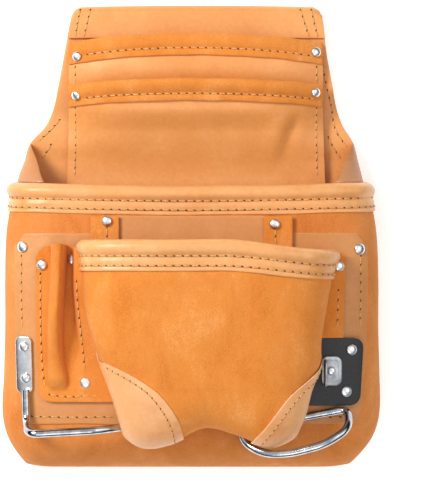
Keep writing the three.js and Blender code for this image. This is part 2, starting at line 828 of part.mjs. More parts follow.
const onPanel = (x, y) => mainSkin(x, y, panelFace);
const rodLift = layClearance + rodRadius + rodClearance;
const over = (x, height, lift) => (
  new THREE.Vector3(x, above(height), onPanel(x, above(height)) + lift)
);

/** A steel loop: a bent bar whose corners have a lift off the panel, with a flat ear at each end. */
function holder(name, ears, corners) {
  const plates = ears.map(({ x, height, length }) => (
    plate(earWidth, length, earThickness, earWidth / 3)
      .applyMatrix4(laidOn(onPanel, x, above(height), layClearance))
  ));
  const path = table(['x', 'height', 'lift'], corners);
  const track = path.map(({ x, height, lift }) => over(x, height, lift));
  const bar = bentBar(track, rodRadius, rodBend);
  add(name, joined([bar, ...plates]), materials.steel);
}

holder('hammer_holder_left', [
  { x: -111.5, height: 70, length: earLength },
  { x: -43, height: hiddenEarHeight, length: hiddenEarLength },
], [
  [-111, 53, rodLift],
  [-110.5, 33, rodLift + 1],
  [-108, 28, 24],
  [-62, 30, 15],
  [-44, 31, rodLift + 1],
  [-43, 40, rodLift],
]);

holder('hammer_holder_right', [
  { x: 70, height: hiddenEarHeight, length: hiddenEarLength },
  { x: 33, height: hiddenEarHeight, length: hiddenEarLength },
], [
  [70, 38, rodLift],
  [84, 40, rodLift],
  [104, 44, rodLift + 3],
  [104, 30, 22],
  [89, 18, 26],
  [66, 11.5, 24],
  [48, 11, 20],
  [34, 19, rodLift + 5],
  [33, 40, rodLift],
]);

// Black tab with the tape clip
const tabFace = frontLift + tabThickness;
{
  const [left, right, top, bottom] = [tabLeft, tabRight, tabTop, tabBottom];
  const face = (out) => grid(steps(0, 1, 6), steps(0, 1, 6), (u, v) => {
    const height = lerp(top, bottom, v);
    const cut = tabCorner * Math.max(0, Math.abs(2 * v - 1) - 0.75) / 0.25;
    const x = lerp(left, right - cut, u);
    return new THREE.Vector3(x, above(height), mainSkin(x, above(height), frontLift + out));
  });
  add('tape_tab', slab(face(tabThickness), face(0)), materials.tab);
}
{
  const onTab = (x, y) => mainSkin(x, y, tabFace);
  const base = plate(clipWidth, clipLength, clipThickness, 1.5);
  const lip = new THREE.BoxGeometry(clipLipThickness, clipLength * 0.9, clipLip);
  lip.translate(-clipWidth / 2 + clipLipThickness / 2, -1, clipLip / 2 + clipThickness / 2);
  const at = laidOn(onTab, clipX, above(clipHeight), layClearance);
  add('tape_clip', joined([base, lip]).applyMatrix4(at), materials.steel);
}

// Rivet heads, each on the face that it holds
function rivet(name, faceAt, x, height, radius = rivetRadius) {
  const profile = [
    new THREE.Vector2(0, 0),
    new THREE.Vector2(radius, 0),
    new THREE.Vector2(radius, 0.3 * rivetHeight),
    new THREE.Vector2(0.75 * radius, 0.78 * rivetHeight),
    new THREE.Vector2(0, rivetHeight),
  ];
  const head = new THREE.LatheGeometry(profile, 10).rotateX(Math.PI / 2);
  add(name, head.applyMatrix4(laidOn(faceAt, x, above(height), seat)), materials.steel);
}

const onStrip = (heightAt) => (x, y) => heightAt(x, y) + leather + seat + stripThickness;
const skinAt = (lift) => (x, y) => mainSkin(x, y, lift);
const onSuede = skinAt(frontLift + suede);
const onEar = skinAt(panelFace + layClearance + earThickness);
rivet('rivet_upper_strip_left', onStrip(upperPocket), 6 - pocketLeft, upperMouth - 9);
rivet('rivet_upper_strip_right', onStrip(upperPocket), pocketRight - 5, upperMouth - 6);
rivet('rivet_lower_strip_left', onStrip(lowerPocket), 5.5 - pocketLeft, lowerMouth - 7);
rivet('rivet_lower_strip_right', onStrip(lowerPocket), pocketRight - 5.5, lowerMouth - 5);
rivet('rivet_strap_left', onSuede, -56, 166);
rivet('rivet_strap_right', onSuede, 56, 164);
rivet('rivet_panel_left', onPanel, -113, 149);
rivet('rivet_panel_right', onPanel, 113, 147.5);
rivet('rivet_loop', onSuede, -99.6, 137);
rivet('rivet_flange_left_top', onSuede, -76, 141);
rivet('rivet_flange_left_foot', onSuede, -70.5, 58);
rivet('rivet_flange_right', onSuede, 99, 136);
rivet('rivet_ear_top', onEar, -112, 82);
rivet('rivet_ear_foot', onEar, -111, 61);
rivet('rivet_tab_top', skinAt(tabFace), 107.5, 80);
rivet('rivet_tab_foot', skinAt(tabFace), 104, 52);
rivet('rivet_clip', skinAt(tabFace + layClearance + clipThickness), clipX, clipHeight, 3);

// Everything is centred over the surface that the bag lies on.
const box = new THREE.Box3().setFromObject(bag);
const centre = box.getCenter(new THREE.Vector3());
bag.position.set(-centre.x, -centre.y, -box.min.z);

export default bag;
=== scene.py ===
"""A carpenter's leather nail and tool bag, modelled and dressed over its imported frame.

Shapes are worked out in millimetres in the frame's own axes and turned to metres as they are built.
"""

import logging
import math
from collections.abc import Callable, Sequence
from dataclasses import dataclass, field
from enum import Enum

import bmesh
import bpy
from mathutils import Matrix, Vector, noise


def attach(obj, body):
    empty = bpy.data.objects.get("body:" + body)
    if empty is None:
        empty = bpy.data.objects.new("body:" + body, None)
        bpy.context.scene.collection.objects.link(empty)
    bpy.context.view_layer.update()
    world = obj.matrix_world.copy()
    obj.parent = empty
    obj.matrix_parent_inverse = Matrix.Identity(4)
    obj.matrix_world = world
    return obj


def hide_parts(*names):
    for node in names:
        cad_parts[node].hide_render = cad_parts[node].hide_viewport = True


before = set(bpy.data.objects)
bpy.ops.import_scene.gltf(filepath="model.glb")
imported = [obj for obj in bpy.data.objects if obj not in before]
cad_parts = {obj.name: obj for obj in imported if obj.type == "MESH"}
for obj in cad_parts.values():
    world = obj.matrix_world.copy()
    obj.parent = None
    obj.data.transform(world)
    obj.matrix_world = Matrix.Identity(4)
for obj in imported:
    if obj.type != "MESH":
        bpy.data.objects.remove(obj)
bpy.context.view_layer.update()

LOG = logging.getLogger("nail_bag")
MM = 0.001
MM_PER_METRE = 1000
# A cut edge's rounding as a share of the leather's thickness, and the least angle of such an edge.
EDGE_ROUNDING = 0.22
EDGE_ANGLE = 50
# Corners closer than this many millimetres are one corner.
TOUCHING = 0.001

Height = Callable[[float, float], float]
Place = Callable[[float, float], Vector]
Surface = Callable[[float, float, float], Vector]
Spot = Callable[[float], tuple[Vector, Vector]]
Point = tuple[float, float]
Triple = tuple[float, float, float]


class Slot(Enum):
    """The record's material slots."""

    SMOOTH = "smooth_leather"
    PANEL = "panel_leather"
    SUEDE = "suede_leather"
    BLACK = "black_leather"
    STEEL = "polished_steel"
    NICKEL = "rivet_nickel"


class Side(Enum):
    """The bag's two sides, as seen from its front."""

    LEFT = "left"
    RIGHT = "right"


class LoopPart(Enum):
    """What the tool loop's piece is made of from left to right."""

    LEFT_FLANGE = "left flange"
    TUBE = "tube"
    RIGHT_FLANGE = "right flange"


def linear(code: str) -> tuple[float, float, float, float]:
    """Turns an sRGB hex colour to linear.

    Args:
        code: The colour as #RRGGBB.

    Returns:
        Its linear red, green and blue with full alpha.
    """
    parts = [int(code[i : i + 2], 16) / 255 for i in (1, 3, 5)]
    values = [c / 12.92 if c <= 0.04045 else ((c + 0.055) / 1.055) ** 2.4 for c in parts]
    return (*values, 1.0)


def lerp(a: float, b: float, share: float) -> float:
    """Goes a share of the way from one value to another."""
    return a + (b - a) * share


def clamp(value: float, low: float, high: float) -> float:
    """Keeps a value between two limits."""
    return max(low, min(high, value))


def smooth(value: float, low: float, high: float) -> float:
    """Rises softly from 0 at low to 1 at high."""
    share = clamp((value - low) / (high - low), 0, 1)
    return share * share * (3 - 2 * share)


def steps(start: float, end: float, count: int) -> list[float]:
    """Even steps from one value to another, both included."""
    return [lerp(start, end, i / count) for i in range(count + 1)]


def superellipse(angle: float, boxiness: float) -> Point:
    """A point of the unit superellipse in the direction of an angle."""
    c, s = math.cos(angle), math.sin(angle)
    reach = (abs(c) ** boxiness + abs(s) ** boxiness) ** (-1 / boxiness)
    return c * reach, s * reach


def crown(place: float, boxiness: float) -> float:
    """The height of the unit superellipse over a place between -1 and 1."""
    return (1 - min(abs(place), 1) ** boxiness) ** (1 / boxiness)


def ridge(distance: float, width: float) -> float:
    """A soft bump that fades over a width."""
    return math.exp(-((distance / width) ** 2))


def waver(x: float, y: float, size: float, seed: float = 0.0) -> float:
    """Smooth noise between about -1 and 1, with features of a size in millimetres."""
    return noise.noise(Vector((x / size, y / size, seed)))


@dataclass(frozen=True)
class Table:
    """Rows of numbers with named columns, the first of which is the place."""

    columns: tuple[str, ...]
    rows: tuple[tuple[float, ...], ...]

    def at(self, place: float, column: str) -> float:
        """Reads a smooth value between the rows.

        Args:
            place: The place along the table.
            column: The column's name.

        Returns:
            The value there.
        """
        c = self.columns.index(column)
        rows = self.rows
        last = len(rows) - 1
        spot = clamp(place, rows[0][0], rows[last][0])
        i = 0
        while i < last - 1 and spot > rows[i + 1][0]:
            i += 1

        def slope(j: int) -> float:
            a, b = rows[max(j - 1, 0)], rows[min(j + 1, last)]
            return (b[c] - a[c]) / (b[0] - a[0])

        span = rows[i + 1][0] - rows[i][0]
        t = (spot - rows[i][0]) / span
        rise = (rows[i + 1][c] - rows[i][c]) * t * t * (3 - 2 * t)
        start = t * (1 - t) * (1 - t) * span * slope(i)
        end = t * t * (t - 1) * span * slope(i + 1)
        return rows[i][c] + rise + start + end


def add_node(tree: bpy.types.NodeTree, kind: str, values: dict | None = None,
             links: dict | None = None, **settings: object) -> bpy.types.Node:
    """Adds a node with its settings, input values and links.

    Args:
        tree: The node tree.
        kind: The node's type name.
        values: Input names with their values.
        links: Input names with the output sockets that feed them.
        **settings: The node's own properties.

    Returns:
        The new node.
    """
    made = tree.nodes.new(kind)
    for name, value in settings.items():
        setattr(made, name, value)
    for name, value in (values or {}).items():
        made.inputs[name].default_value = value
    for name, socket in (links or {}).items():
        tree.links.new(socket, made.inputs[name])
    return made


def new_tree(name: str) -> tuple[bpy.types.Material, bpy.types.NodeTree, bpy.types.NodeSocket]:
    """Starts an empty material and gives its tree and its Object coordinates."""
    material = bpy.data.materials.new(name)
    material.use_nodes = True
    tree = material.node_tree
    tree.nodes.clear()
    coordinates = add_node(tree, "ShaderNodeTexCoord")
    return material, tree, coordinates.outputs["Object"]


def close_tree(tree: bpy.types.NodeTree, shader: bpy.types.Node) -> None:
    """Joins a shader to the material's output."""
    add_node(tree, "ShaderNodeOutputMaterial", links={"Surface": shader.outputs[0]})


def tones(tree: bpy.types.NodeTree, factor: bpy.types.NodeSocket,
          stops: Sequence[tuple[float, str]]) -> bpy.types.NodeSocket:
    """Runs a factor through a ramp of sRGB colours."""
    ramp = add_node(tree, "ShaderNodeValToRGB", links={"Fac": factor})
    ramp.color_ramp.interpolation = "EASE"
    while len(ramp.color_ramp.elements) < len(stops):
        ramp.color_ramp.elements.new(0.5)
    for element, (place, code) in zip(ramp.color_ramp.elements, stops):
        element.position = place
        element.color = linear(code)
    return ramp.outputs["Color"]


def scale_of(feature_mm: float) -> float:
    """The scale at which a pattern's features have a real size in millimetres."""
    return MM_PER_METRE / feature_mm


@dataclass(frozen=True)
class SmoothLeather:
    """Drum-dyed, lightly waxed top-grain cowhide: soft gloss over fine pores and broad mottling."""

    name: str = "waxed_top_grain_leather"
    shade: str = "#DD8B42"
    middle: str = "#E79A53"
    light: str = "#EEA662"
    # Real pores are about 0.2 mm, too fine to show in the render, so they are drawn coarser.
    pore_mm: float = 1.1
    # Drum dyeing leaves clouds of a few centimetres.
    mottle_mm: float = 48.0
    roughness: float = 0.4
    sheen: float = 0.03

    def build(self) -> bpy.types.Material:
        """Makes the material."""
        material, tree, place = new_tree(self.name)
        mottle = add_node(tree, "ShaderNodeTexNoise",
                          {"Scale": scale_of(self.mottle_mm), "Detail": 5.0, "Roughness": 0.6},
                          {"Vector": place})
        colour = tones(tree, mottle.outputs["Fac"],
                       ((0.25, self.shade), (0.5, self.middle), (0.75, self.light)))
        pores = add_node(tree, "ShaderNodeTexVoronoi", {"Scale": scale_of(self.pore_mm)},
                         {"Vector": place}, feature="SMOOTH_F1")
        fine = add_node(tree, "ShaderNodeTexNoise",
                        {"Scale": scale_of(2.4 * self.pore_mm), "Detail": 3.0}, {"Vector": place})
        speck = add_node(tree, "ShaderNodeMapRange",
                         {"From Min": 0.3, "From Max": 0.7, "To Min": 0.95, "To Max": 1.03},
                         {"Value": fine.outputs["Fac"]})
        speckled = add_node(tree, "ShaderNodeVectorMath", links={0: colour, 1: speck.outputs[0]},
                            operation="MULTIPLY")
        relief = add_node(tree, "ShaderNodeMath",
                          links={0: pores.outputs["Distance"], 1: fine.outputs["Fac"]},
                          operation="ADD")
        bump = add_node(tree, "ShaderNodeBump", {"Strength": 0.2, "Distance": 0.00025},
                        {"Height": relief.outputs[0]})
        gloss = add_node(tree, "ShaderNodeMapRange",
                         {"To Min": self.roughness - 0.08, "To Max": self.roughness + 0.1},
                         {"Value": mottle.outputs["Fac"]})
        shader = add_node(tree, "ShaderNodeBsdfPrincipled",
                          {"Specular IOR Level": 0.5, "Sheen Weight": self.sheen,
                           "Sheen Roughness": 0.4},
                          {"Base Color": speckled.outputs[0], "Roughness": gloss.outputs[0],
                           "Normal": bump.outputs[0]})
        close_tree(tree, shader)
        return material


@dataclass(frozen=True)
class SuedeLeather:
    """Buffed split cowhide: a matte, brushed nap whose strokes lie lighter and darker."""

    name: str = "buffed_split_suede"
    shade: str = "#CF7428"
    middle: str = "#DF883A"
    light: str = "#EEA05A"
    # Real nap fibres are about 0.1 mm, too fine to show in the render, so they are drawn coarser.
    fibre_mm: float = 0.8
    # The strokes that a hand leaves are about a thumb wide.
    stroke_mm: float = 30.0

    def build(self) -> bpy.types.Material:
        """Makes the material."""
        material, tree, place = new_tree(self.name)
        strokes = add_node(tree, "ShaderNodeMapping",
                           {"Scale": (1.0, 0.55, 1.0), "Rotation": (0.0, 0.0, 0.5)},
                           {"Vector": place})
        brushed = add_node(tree, "ShaderNodeTexNoise",
                           {"Scale": scale_of(self.stroke_mm), "Detail": 8.0, "Roughness": 0.68,
                            "Distortion": 0.25}, {"Vector": strokes.outputs[0]})
        fibres = add_node(tree, "ShaderNodeTexNoise",
                          {"Scale": scale_of(self.fibre_mm), "Detail": 4.0, "Roughness": 0.7},
                          {"Vector": place})
        both = add_node(tree, "ShaderNodeMath", {1: 0.42}, {0: fibres.outputs["Fac"]},
                        operation="MULTIPLY")
        mixed = add_node(tree, "ShaderNodeMath", {1: 0.58},
                         {0: brushed.outputs["Fac"], 2: both.outputs[0]},
                         operation="MULTIPLY_ADD")
        colour = tones(tree, mixed.outputs[0],
                       ((0.36, self.shade), (0.5, self.middle), (0.64, self.light)))
        bump = add_node(tree, "ShaderNodeBump", {"Strength": 0.55, "Distance": 0.0007},
                        {"Height": mixed.outputs[0]})
        shader = add_node(tree, "ShaderNodeBsdfPrincipled",
                          {"Roughness": 0.95, "Specular IOR Level": 0.2, "Sheen Weight": 0.22,
                           "Sheen Roughness": 0.5, "Sheen Tint": linear("#FFC995")},
                          {"Base Color": colour, "Normal": bump.outputs[0]})
        close_tree(tree, shader)
        return material


@dataclass(frozen=True)
class CutEdge:
    """The raw, knife-cut edge and flesh side of the hide: pale, fibrous and dull."""

    name: str = "knife_cut_leather_edge"
    dark: str = "#E0A66C"
    light: str = "#F8D7AE"
    # Real fibres are about 0.1 mm here too, and are drawn coarser so that they show.
    fibre_mm: float = 1.1

    def build(self) -> bpy.types.Material:
        """Makes the material."""
        material, tree, place = new_tree(self.name)
        fibres = add_node(tree, "ShaderNodeTexNoise",
                          {"Scale": scale_of(self.fibre_mm), "Detail": 4.0, "Roughness": 0.65},
                          {"Vector": place})
        colour = tones(tree, fibres.outputs["Fac"], ((0.35, self.dark), (0.65, self.light)))
        bump = add_node(tree, "ShaderNodeBump", {"Strength": 0.4, "Distance": 0.0004},
                        {"Height": fibres.outputs["Fac"]})
        shader = add_node(tree, "ShaderNodeBsdfPrincipled",
                          {"Roughness": 0.9, "Specular IOR Level": 0.25},
                          {"Base Color": colour, "Normal": bump.outputs[0]})
        close_tree(tree, shader)
        return material


@dataclass(frozen=True)
class PlainFinish:
    """A finish of one colour with fine mottling, roughness variation and a light bump."""

    name: str
    dark: str
    light: str
    # The size of its mottling or press marks, drawn no finer than the render can show.
    grain_mm: float
    roughness: float
    metallic: float = 0.0
    bump: float = 0.1
    glow: float = 0.0

    def build(self) -> bpy.types.Material:
        """Makes the material."""
        material, tree, place = new_tree(self.name)
        grain = add_node(tree, "ShaderNodeTexNoise",
                         {"Scale": scale_of(self.grain_mm), "Detail": 4.0}, {"Vector": place})
        colour = tones(tree, grain.outputs["Fac"], ((0.3, self.dark), (0.7, self.light)))
        rough = add_node(tree, "ShaderNodeMapRange",
                         {"To Min": 0.75 * self.roughness, "To Max": 1.3 * self.roughness},
                         {"Value": grain.outputs["Fac"]})
        bump = add_node(tree, "ShaderNodeBump", {"Strength": self.bump, "Distance": 0.0002},
                        {"Height": grain.outputs["Fac"]})
        shader = add_node(tree, "ShaderNodeBsdfPrincipled",
                          {"Metallic": self.metallic, "Emission Color": linear("#FFFFFF"),
                           "Emission Strength": self.glow},
                          {"Base Color": colour, "Roughness": rough.outputs[0],
                           "Normal": bump.outputs[0]})
        close_tree(tree, shader)
        return material


# Bonded nylon thread: waxed, tan, a little glossy.
THREAD = PlainFinish("bonded_nylon_thread", "#C98A45", "#EDB672", 1.0, 0.55, bump=0.3)
# Painted shade of a needle hole in leather: a dark flat pit with no gloss.
NEEDLE_HOLE = PlainFinish("needle_hole_shadow", "#3A1F0B", "#5C3312", 1.0, 0.9)
# Nickel-plated steel rivet caps: bright, faintly handled.
NICKEL = PlainFinish("nickel_plated_rivet", "#DADDE0", "#F4F5F6", 3.0, 0.3, metallic=1.0,
                     bump=0.04)
# Chrome-plated round bar: a mirror with faint draw marks, so it shows dark and bright streaks.
BAR = PlainFinish("chrome_plated_drawn_bar", "#9DA2A8", "#C9CDD2", 6.0, 0.1, metallic=1.0,
                  bump=0.03)
# Its stamped ears: bright, and a little duller from the press.
EAR = PlainFinish("chrome_plated_stamped_ear", "#DDDFE2", "#F5F6F7", 6.0, 0.17, metallic=1.0,
                  bump=0.03)
# Zinc-plated stamped sheet: grey, satin, with faint press marks.
STAMPED = PlainFinish("zinc_plated_stamped_steel", "#8D9094", "#B4B7BB", 4.0, 0.33, metallic=1.0,
                      bump=0.08)
# Finished black cowhide: a thin pigment coat, satin gloss, a pebbled surface.
BLACK_HIDE = PlainFinish("black_pigmented_leather", "#131214", "#252327", 1.6, 0.42, bump=0.45)
# Its cut edge shows the brown hide under the black coat.
BLACK_EDGE = PlainFinish("black_leather_cut_edge", "#3B2417", "#6B4630", 1.2, 0.85, bump=0.4)
# Back-lit opal studio board: matte and pale, and it thins out the shadows.
STUDIO_BOARD = PlainFinish("matte_opal_studio_board", "#F4F4F3", "#F8F8F7", 300.0, 0.9, bump=0.0,
                           glow=0.45)

# Waxed top-grain cowhide, in the tone that each part of the bag has: the body, the duller tool
# panel and the paler corner patches and bands; the gussets take a darker copy as painted shade.
SMOOTH = SmoothLeather()
PANEL = SmoothLeather("waxed_panel_leather", "#C87F40", "#D48D4E", "#DE9C60", 1.2, 52.0, 0.46, 0.04)
PATCH = SmoothLeather("waxed_patch_leather", "#E29A5E", "#ECAA70", "#F2B984", 1.1, 30.0, 0.4, 0.03)
BAND = SmoothLeather("waxed_band_leather", "#DF9552", "#E9A564", "#F0B378", 1.1, 34.0, 0.36, 0.03)
# Buffed split cowhide, and a deeper tone of it for the big pouch.
SUEDE = SuedeLeather()
DEEP_SUEDE = SuedeLeather("buffed_split_suede_deep", "#CB7330", "#DA8542", "#E89B5A")
# The gussets' darker colours are painted shade of their sideways-facing walls, not a tone of their
# own.
GUSSET = SmoothLeather("waxed_gusset_leather_painted_shade", "#B46D2C", "#C17B3A", "#CE8A49", 1.1, 40.0, 0.44,
                       0.03)
EDGE = CutEdge()

_BUILT: dict[str, bpy.types.Material] = {}


def finish(look: SmoothLeather | SuedeLeather | CutEdge | PlainFinish) -> bpy.types.Material:
    """Gives a finish's material and makes it once."""
    if look.name not in _BUILT:
        _BUILT[look.name] = look.build()
    return _BUILT[look.name]


@dataclass(frozen=True)
class Hide:
    """What a leather piece shows: its face, its flesh side and its cut edge."""

    face: SmoothLeather | SuedeLeather | PlainFinish
    back: SuedeLeather | CutEdge | PlainFinish
    edge: CutEdge | PlainFinish
    slot: Slot


SMOOTH_HIDE = Hide(SMOOTH, SUEDE, EDGE, Slot.SMOOTH)
PANEL_HIDE = Hide(PANEL, SUEDE, EDGE, Slot.PANEL)
PATCH_HIDE = Hide(PATCH, SUEDE, EDGE, Slot.SMOOTH)
BAND_HIDE = Hide(BAND, SUEDE, EDGE, Slot.SMOOTH)
GUSSET_HIDE = Hide(GUSSET, DEEP_SUEDE, EDGE, Slot.SMOOTH)
SUEDE_HIDE = Hide(SUEDE, SUEDE, SUEDE, Slot.SUEDE)
SHELL_HIDE = Hide(DEEP_SUEDE, DEEP_SUEDE, DEEP_SUEDE, Slot.SUEDE)
BLACK_PIECE = Hide(BLACK_HIDE, BLACK_EDGE, BLACK_EDGE, Slot.BLACK)


def make_object(name: str, mesh: bmesh.types.BMesh, looks: Sequence[object], slot: Slot,
                nodes: Sequence[str] = ()) -> bpy.types.Object:
    """Turns a mesh in millimetres into a smooth-shaded piece on the root body.

    Args:
        name: The piece's name.
        mesh: The finished bmesh, which is freed.
        looks: The finishes of its material slots, in order.
        slot: The record's material slot; not used.
        nodes: The CAD nodes that it stands for.

    Returns:
        The new object.
    """
    bmesh.ops.scale(mesh, vec=(MM, MM, MM), verts=mesh.verts)
    for face in mesh.faces:
        face.smooth = True
    data = bpy.data.meshes.new(name)
    mesh.to_mesh(data)
    mesh.free()
    for look in looks:
        data.materials.append(finish(look))
    piece = bpy.data.objects.new(name, data)
    bpy.context.scene.collection.objects.link(piece)
    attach(piece, "root")
    if nodes:
        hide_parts(*nodes)
    LOG.info("%s: %d faces", name, len(data.polygons))
    return piece


def merge(mesh: bmesh.types.BMesh, part: bmesh.types.BMesh) -> None:
    """Adds a part to a mesh and frees the part."""
    data = bpy.data.meshes.new("part")
    part.to_mesh(data)
    part.free()
    mesh.from_mesh(data)
    bpy.data.meshes.remove(data)


def mapped_grid(us: Sequence[float], vs: Sequence[float], place: Place) -> bmesh.types.BMesh:
    """Makes a grid and moves each of its points to its place on a surface."""
    mesh = bmesh.new()
    columns, rows = len(us) - 1, len(vs) - 1
    bmesh.ops.create_grid(mesh, x_segments=columns, y_segments=rows, size=0.5)
    for point in mesh.verts:
        u = us[round((point.co.x + 0.5) * columns)]
        v = vs[round((point.co.y + 0.5) * rows)]
        point.co = place(u, v)
    return mesh


def sheet(name: str, us: Sequence[float], vs: Sequence[float], place: Place, thickness: float,
          hide: Hide, nodes: Sequence[str] = (), facing: Vector = Vector((0, 0, 1)),
          probe: float = 0.5, even: bool = True) -> bpy.types.Object:
    """Makes a piece of leather from its outer surface.

    Args:
        name: The piece's name.
        us: The places across.
        vs: The places down.
        place: The outer surface in millimetres.
        thickness: The leather's thickness.
        hide: What its face, back and edge show.
        nodes: The CAD nodes that it stands for.
        facing: Where the outer face points at the probe.
        probe: The share of the faces at which facing holds.
        even: Whether the wall keeps its thickness round sharp folds.

    Returns:
        The piece.
    """
    mesh = mapped_grid(us, vs, place)
    mesh.normal_update()
    mesh.faces.ensure_lookup_table()
    seen = mesh.faces[int(probe * (len(mesh.faces) - 1))]
    if seen.normal.dot(facing) < 0:
        bmesh.ops.reverse_faces(mesh, faces=mesh.faces)
    piece = make_object(name, mesh, (hide.face, hide.back, hide.edge), hide.slot, nodes)
    wall = piece.modifiers.new("wall", "SOLIDIFY")
    wall.thickness = thickness * MM
    wall.offset = -1
    wall.use_even_offset = even
    wall.thickness_clamp = 1.0
    wall.material_offset = 1
    wall.material_offset_rim = 2
    rounding = piece.modifiers.new("edge_rounding", "BEVEL")
    rounding.width = EDGE_ROUNDING * thickness * MM
    rounding.segments = 2
    rounding.limit_method = "ANGLE"
    rounding.angle_limit = math.radians(EDGE_ANGLE)
    rounding.use_clamp_overlap = True
    return piece


def swept(name: str, stations: Sequence[float], section: Sequence[Point],
          place: Callable[[float, Point], Vector], hide: Hide,
          nodes: Sequence[str] = ()) -> bpy.types.Object:
    """Carries a closed section along stations and closes its ends.

    Args:
        name: The piece's name.
        stations: The places along the run.
        section: The section's corners.
        place: Where a corner lies at a station.
        hide: What the piece shows.
        nodes: The CAD nodes that it stands for.

    Returns:
        The piece.
    """
    round_trip = [*section, section[0]]
    mesh = mapped_grid(stations, range(len(round_trip)),
                       lambda station, corner: place(station, round_trip[int(corner)]))
    bmesh.ops.remove_doubles(mesh, verts=mesh.verts, dist=TOUCHING)
    open_edges = [edge for edge in mesh.edges if len(edge.link_faces) == 1]
    bmesh.ops.holes_fill(mesh, edges=open_edges, sides=0)
    bmesh.ops.recalc_face_normals(mesh, faces=mesh.faces)
    return make_object(name, mesh, (hide.face,), hide.slot, nodes)


def rounded(corners: Sequence[Point], passes: int = 2) -> list[Point]:
    """Cuts the corners of a closed outline until it is round.

    Args:
        corners: The outline's corners.
        passes: How often the corners are cut.

    Returns:
        The rounded outline.
    """
    for _ in range(passes):
        cut = []
        for (ax, ay), (bx, by) in zip(corners, [*corners[1:], corners[0]]):
            cut += [(lerp(ax, bx, share), lerp(ay, by, share)) for share in (0.25, 0.75)]
        corners = cut
    return list(corners)


@dataclass
class Stitching:
    """Rows of thread stitches that lie on the leather, with needle holes between them."""

    name: str
    radius: float = 0.5
    flatness: float = 0.85
    lift: float = 0.12
    slant: float = -0.45
    hole_size: Triple = (1.05, 0.5, 0.2)
    hole_lift: float = 0.03
    samples: int = 160
    threads: bmesh.types.BMesh = field(default_factory=bmesh.new)
    holes: bmesh.types.BMesh = field(default_factory=bmesh.new)

    def row(self, spot: Spot, pitch: float = 5.4,
            gap: float = 0.34) -> None:
        """Sews one row.

        Args:
            spot: The place and the outward normal at a share of the row.
            pitch: The distance between needle holes.
            gap: The share of the pitch that the thread is under the leather.
        """
        count = self.samples
        track = [spot(i / count) for i in range(count + 1)]
        lengths = [0.0]
        for (a, _), (b, _) in zip(track, track[1:]):
            lengths.append(lengths[-1] + (b - a).length)
        number = max(1, round(lengths[-1] / pitch))
        pace = lengths[-1] / number

        def reach(distance: float) -> tuple[Vector, Vector]:
            i = 0
            while i < count - 1 and lengths[i + 1] < distance:
                i += 1
            share = clamp((distance - lengths[i]) / max(lengths[i + 1] - lengths[i], 1e-6), 0, 1)
            return track[i][0].lerp(track[i + 1][0], share), track[i][1]

        for k in range(number):
            start, normal = reach((k + gap / 2) * pace)
            end, _ = reach((k + 1 - gap / 2) * pace)
            self.stitch(start, end, normal)
            hole, normal = reach(k * pace)
            self.hole(hole, normal, end - start)

    def stitch(self, start: Vector, end: Vector, normal: Vector) -> None:
        """Adds one stitch as a slim rounded bar."""
        along = (end - start).normalized()
        side = normal.cross(along).normalized()
        up = along.cross(side)
        turn = Matrix((along, side, up)).transposed().to_4x4()
        size = Matrix.Diagonal(((end - start).length / 2 + self.radius, self.radius,
                                self.flatness * self.radius, 1))
        middle = (start + end) / 2 + self.lift * normal
        bmesh.ops.create_icosphere(self.threads, subdivisions=2, radius=1,
                                   matrix=Matrix.Translation(middle) @ turn @ size)

    def hole(self, middle: Vector, normal: Vector, run: Vector) -> None:
        """Adds one needle hole as a flat dark slit of painted shade that slants across the row."""
        side = normal.cross(run).normalized()
        along = side.cross(normal)
        slant = Matrix.Rotation(self.slant, 4, "Z")
        turn = Matrix((along, side, normal)).transposed().to_4x4() @ slant
        place = Matrix.Translation(middle + self.hole_lift * normal)
        size = Matrix.Diagonal((*self.hole_size, 1))
        bmesh.ops.create_icosphere(self.holes, subdivisions=1, radius=1,
                                   matrix=place @ turn @ size)

    def finish(self, slot: Slot) -> None:
        """Turns the rows into two pieces."""
        make_object(f"stitches_{self.name}", self.threads, (THREAD,), slot)
        make_object(f"needle_holes_{self.name}", self.holes, (NEEDLE_HOLE,), slot)


def on_height(height: Height, x: float, y: float) -> tuple[Vector, Vector]:
    """A point of a height field and its normal."""
    slope_x = height(x + 0.5, y) - height(x - 0.5, y)
    slope_y = height(x, y + 0.5) - height(x, y - 0.5)
    return Vector((x, y, height(x, y))), Vector((-slope_x, -slope_y, 1)).normalized()


def frame_on(height: Height, x: float, y: float, lift: float) -> Matrix:
    """The place and tilt of something that lies flat on a height field at a point.

    Args:
        height: The height field.
        x: The place across.
        y: The place along Y.
        lift: How far the thing is off the field.

    Returns:
        The matrix from the thing's own axes.
    """
    spot, normal = on_height(height, x, y)
    across = Vector((0, 1, 0)).cross(normal).normalized()
    up = normal.cross(across)
    turn = Matrix((across, up, normal)).transposed().to_4x4()
    return Matrix.Translation(spot + lift * normal) @ turn


def lifted(height: Height, lift: float) -> Height:
    """A height field that is raised by a lift."""
    return lambda x, y: height(x, y) + lift


def line_on(height: Height, track: Sequence[Point]) -> Spot:
    """A row along a smooth track over a height field."""
    spans = len(track) - 1
    xs = Table(("at", "x"), tuple((i / spans, p[0]) for i, p in enumerate(track)))
    ys = Table(("at", "y"), tuple((i / spans, p[1]) for i, p in enumerate(track)))

    def spot(share: float) -> tuple[Vector, Vector]:
        return on_height(height, xs.at(share, "x"), ys.at(share, "y"))

    return spot


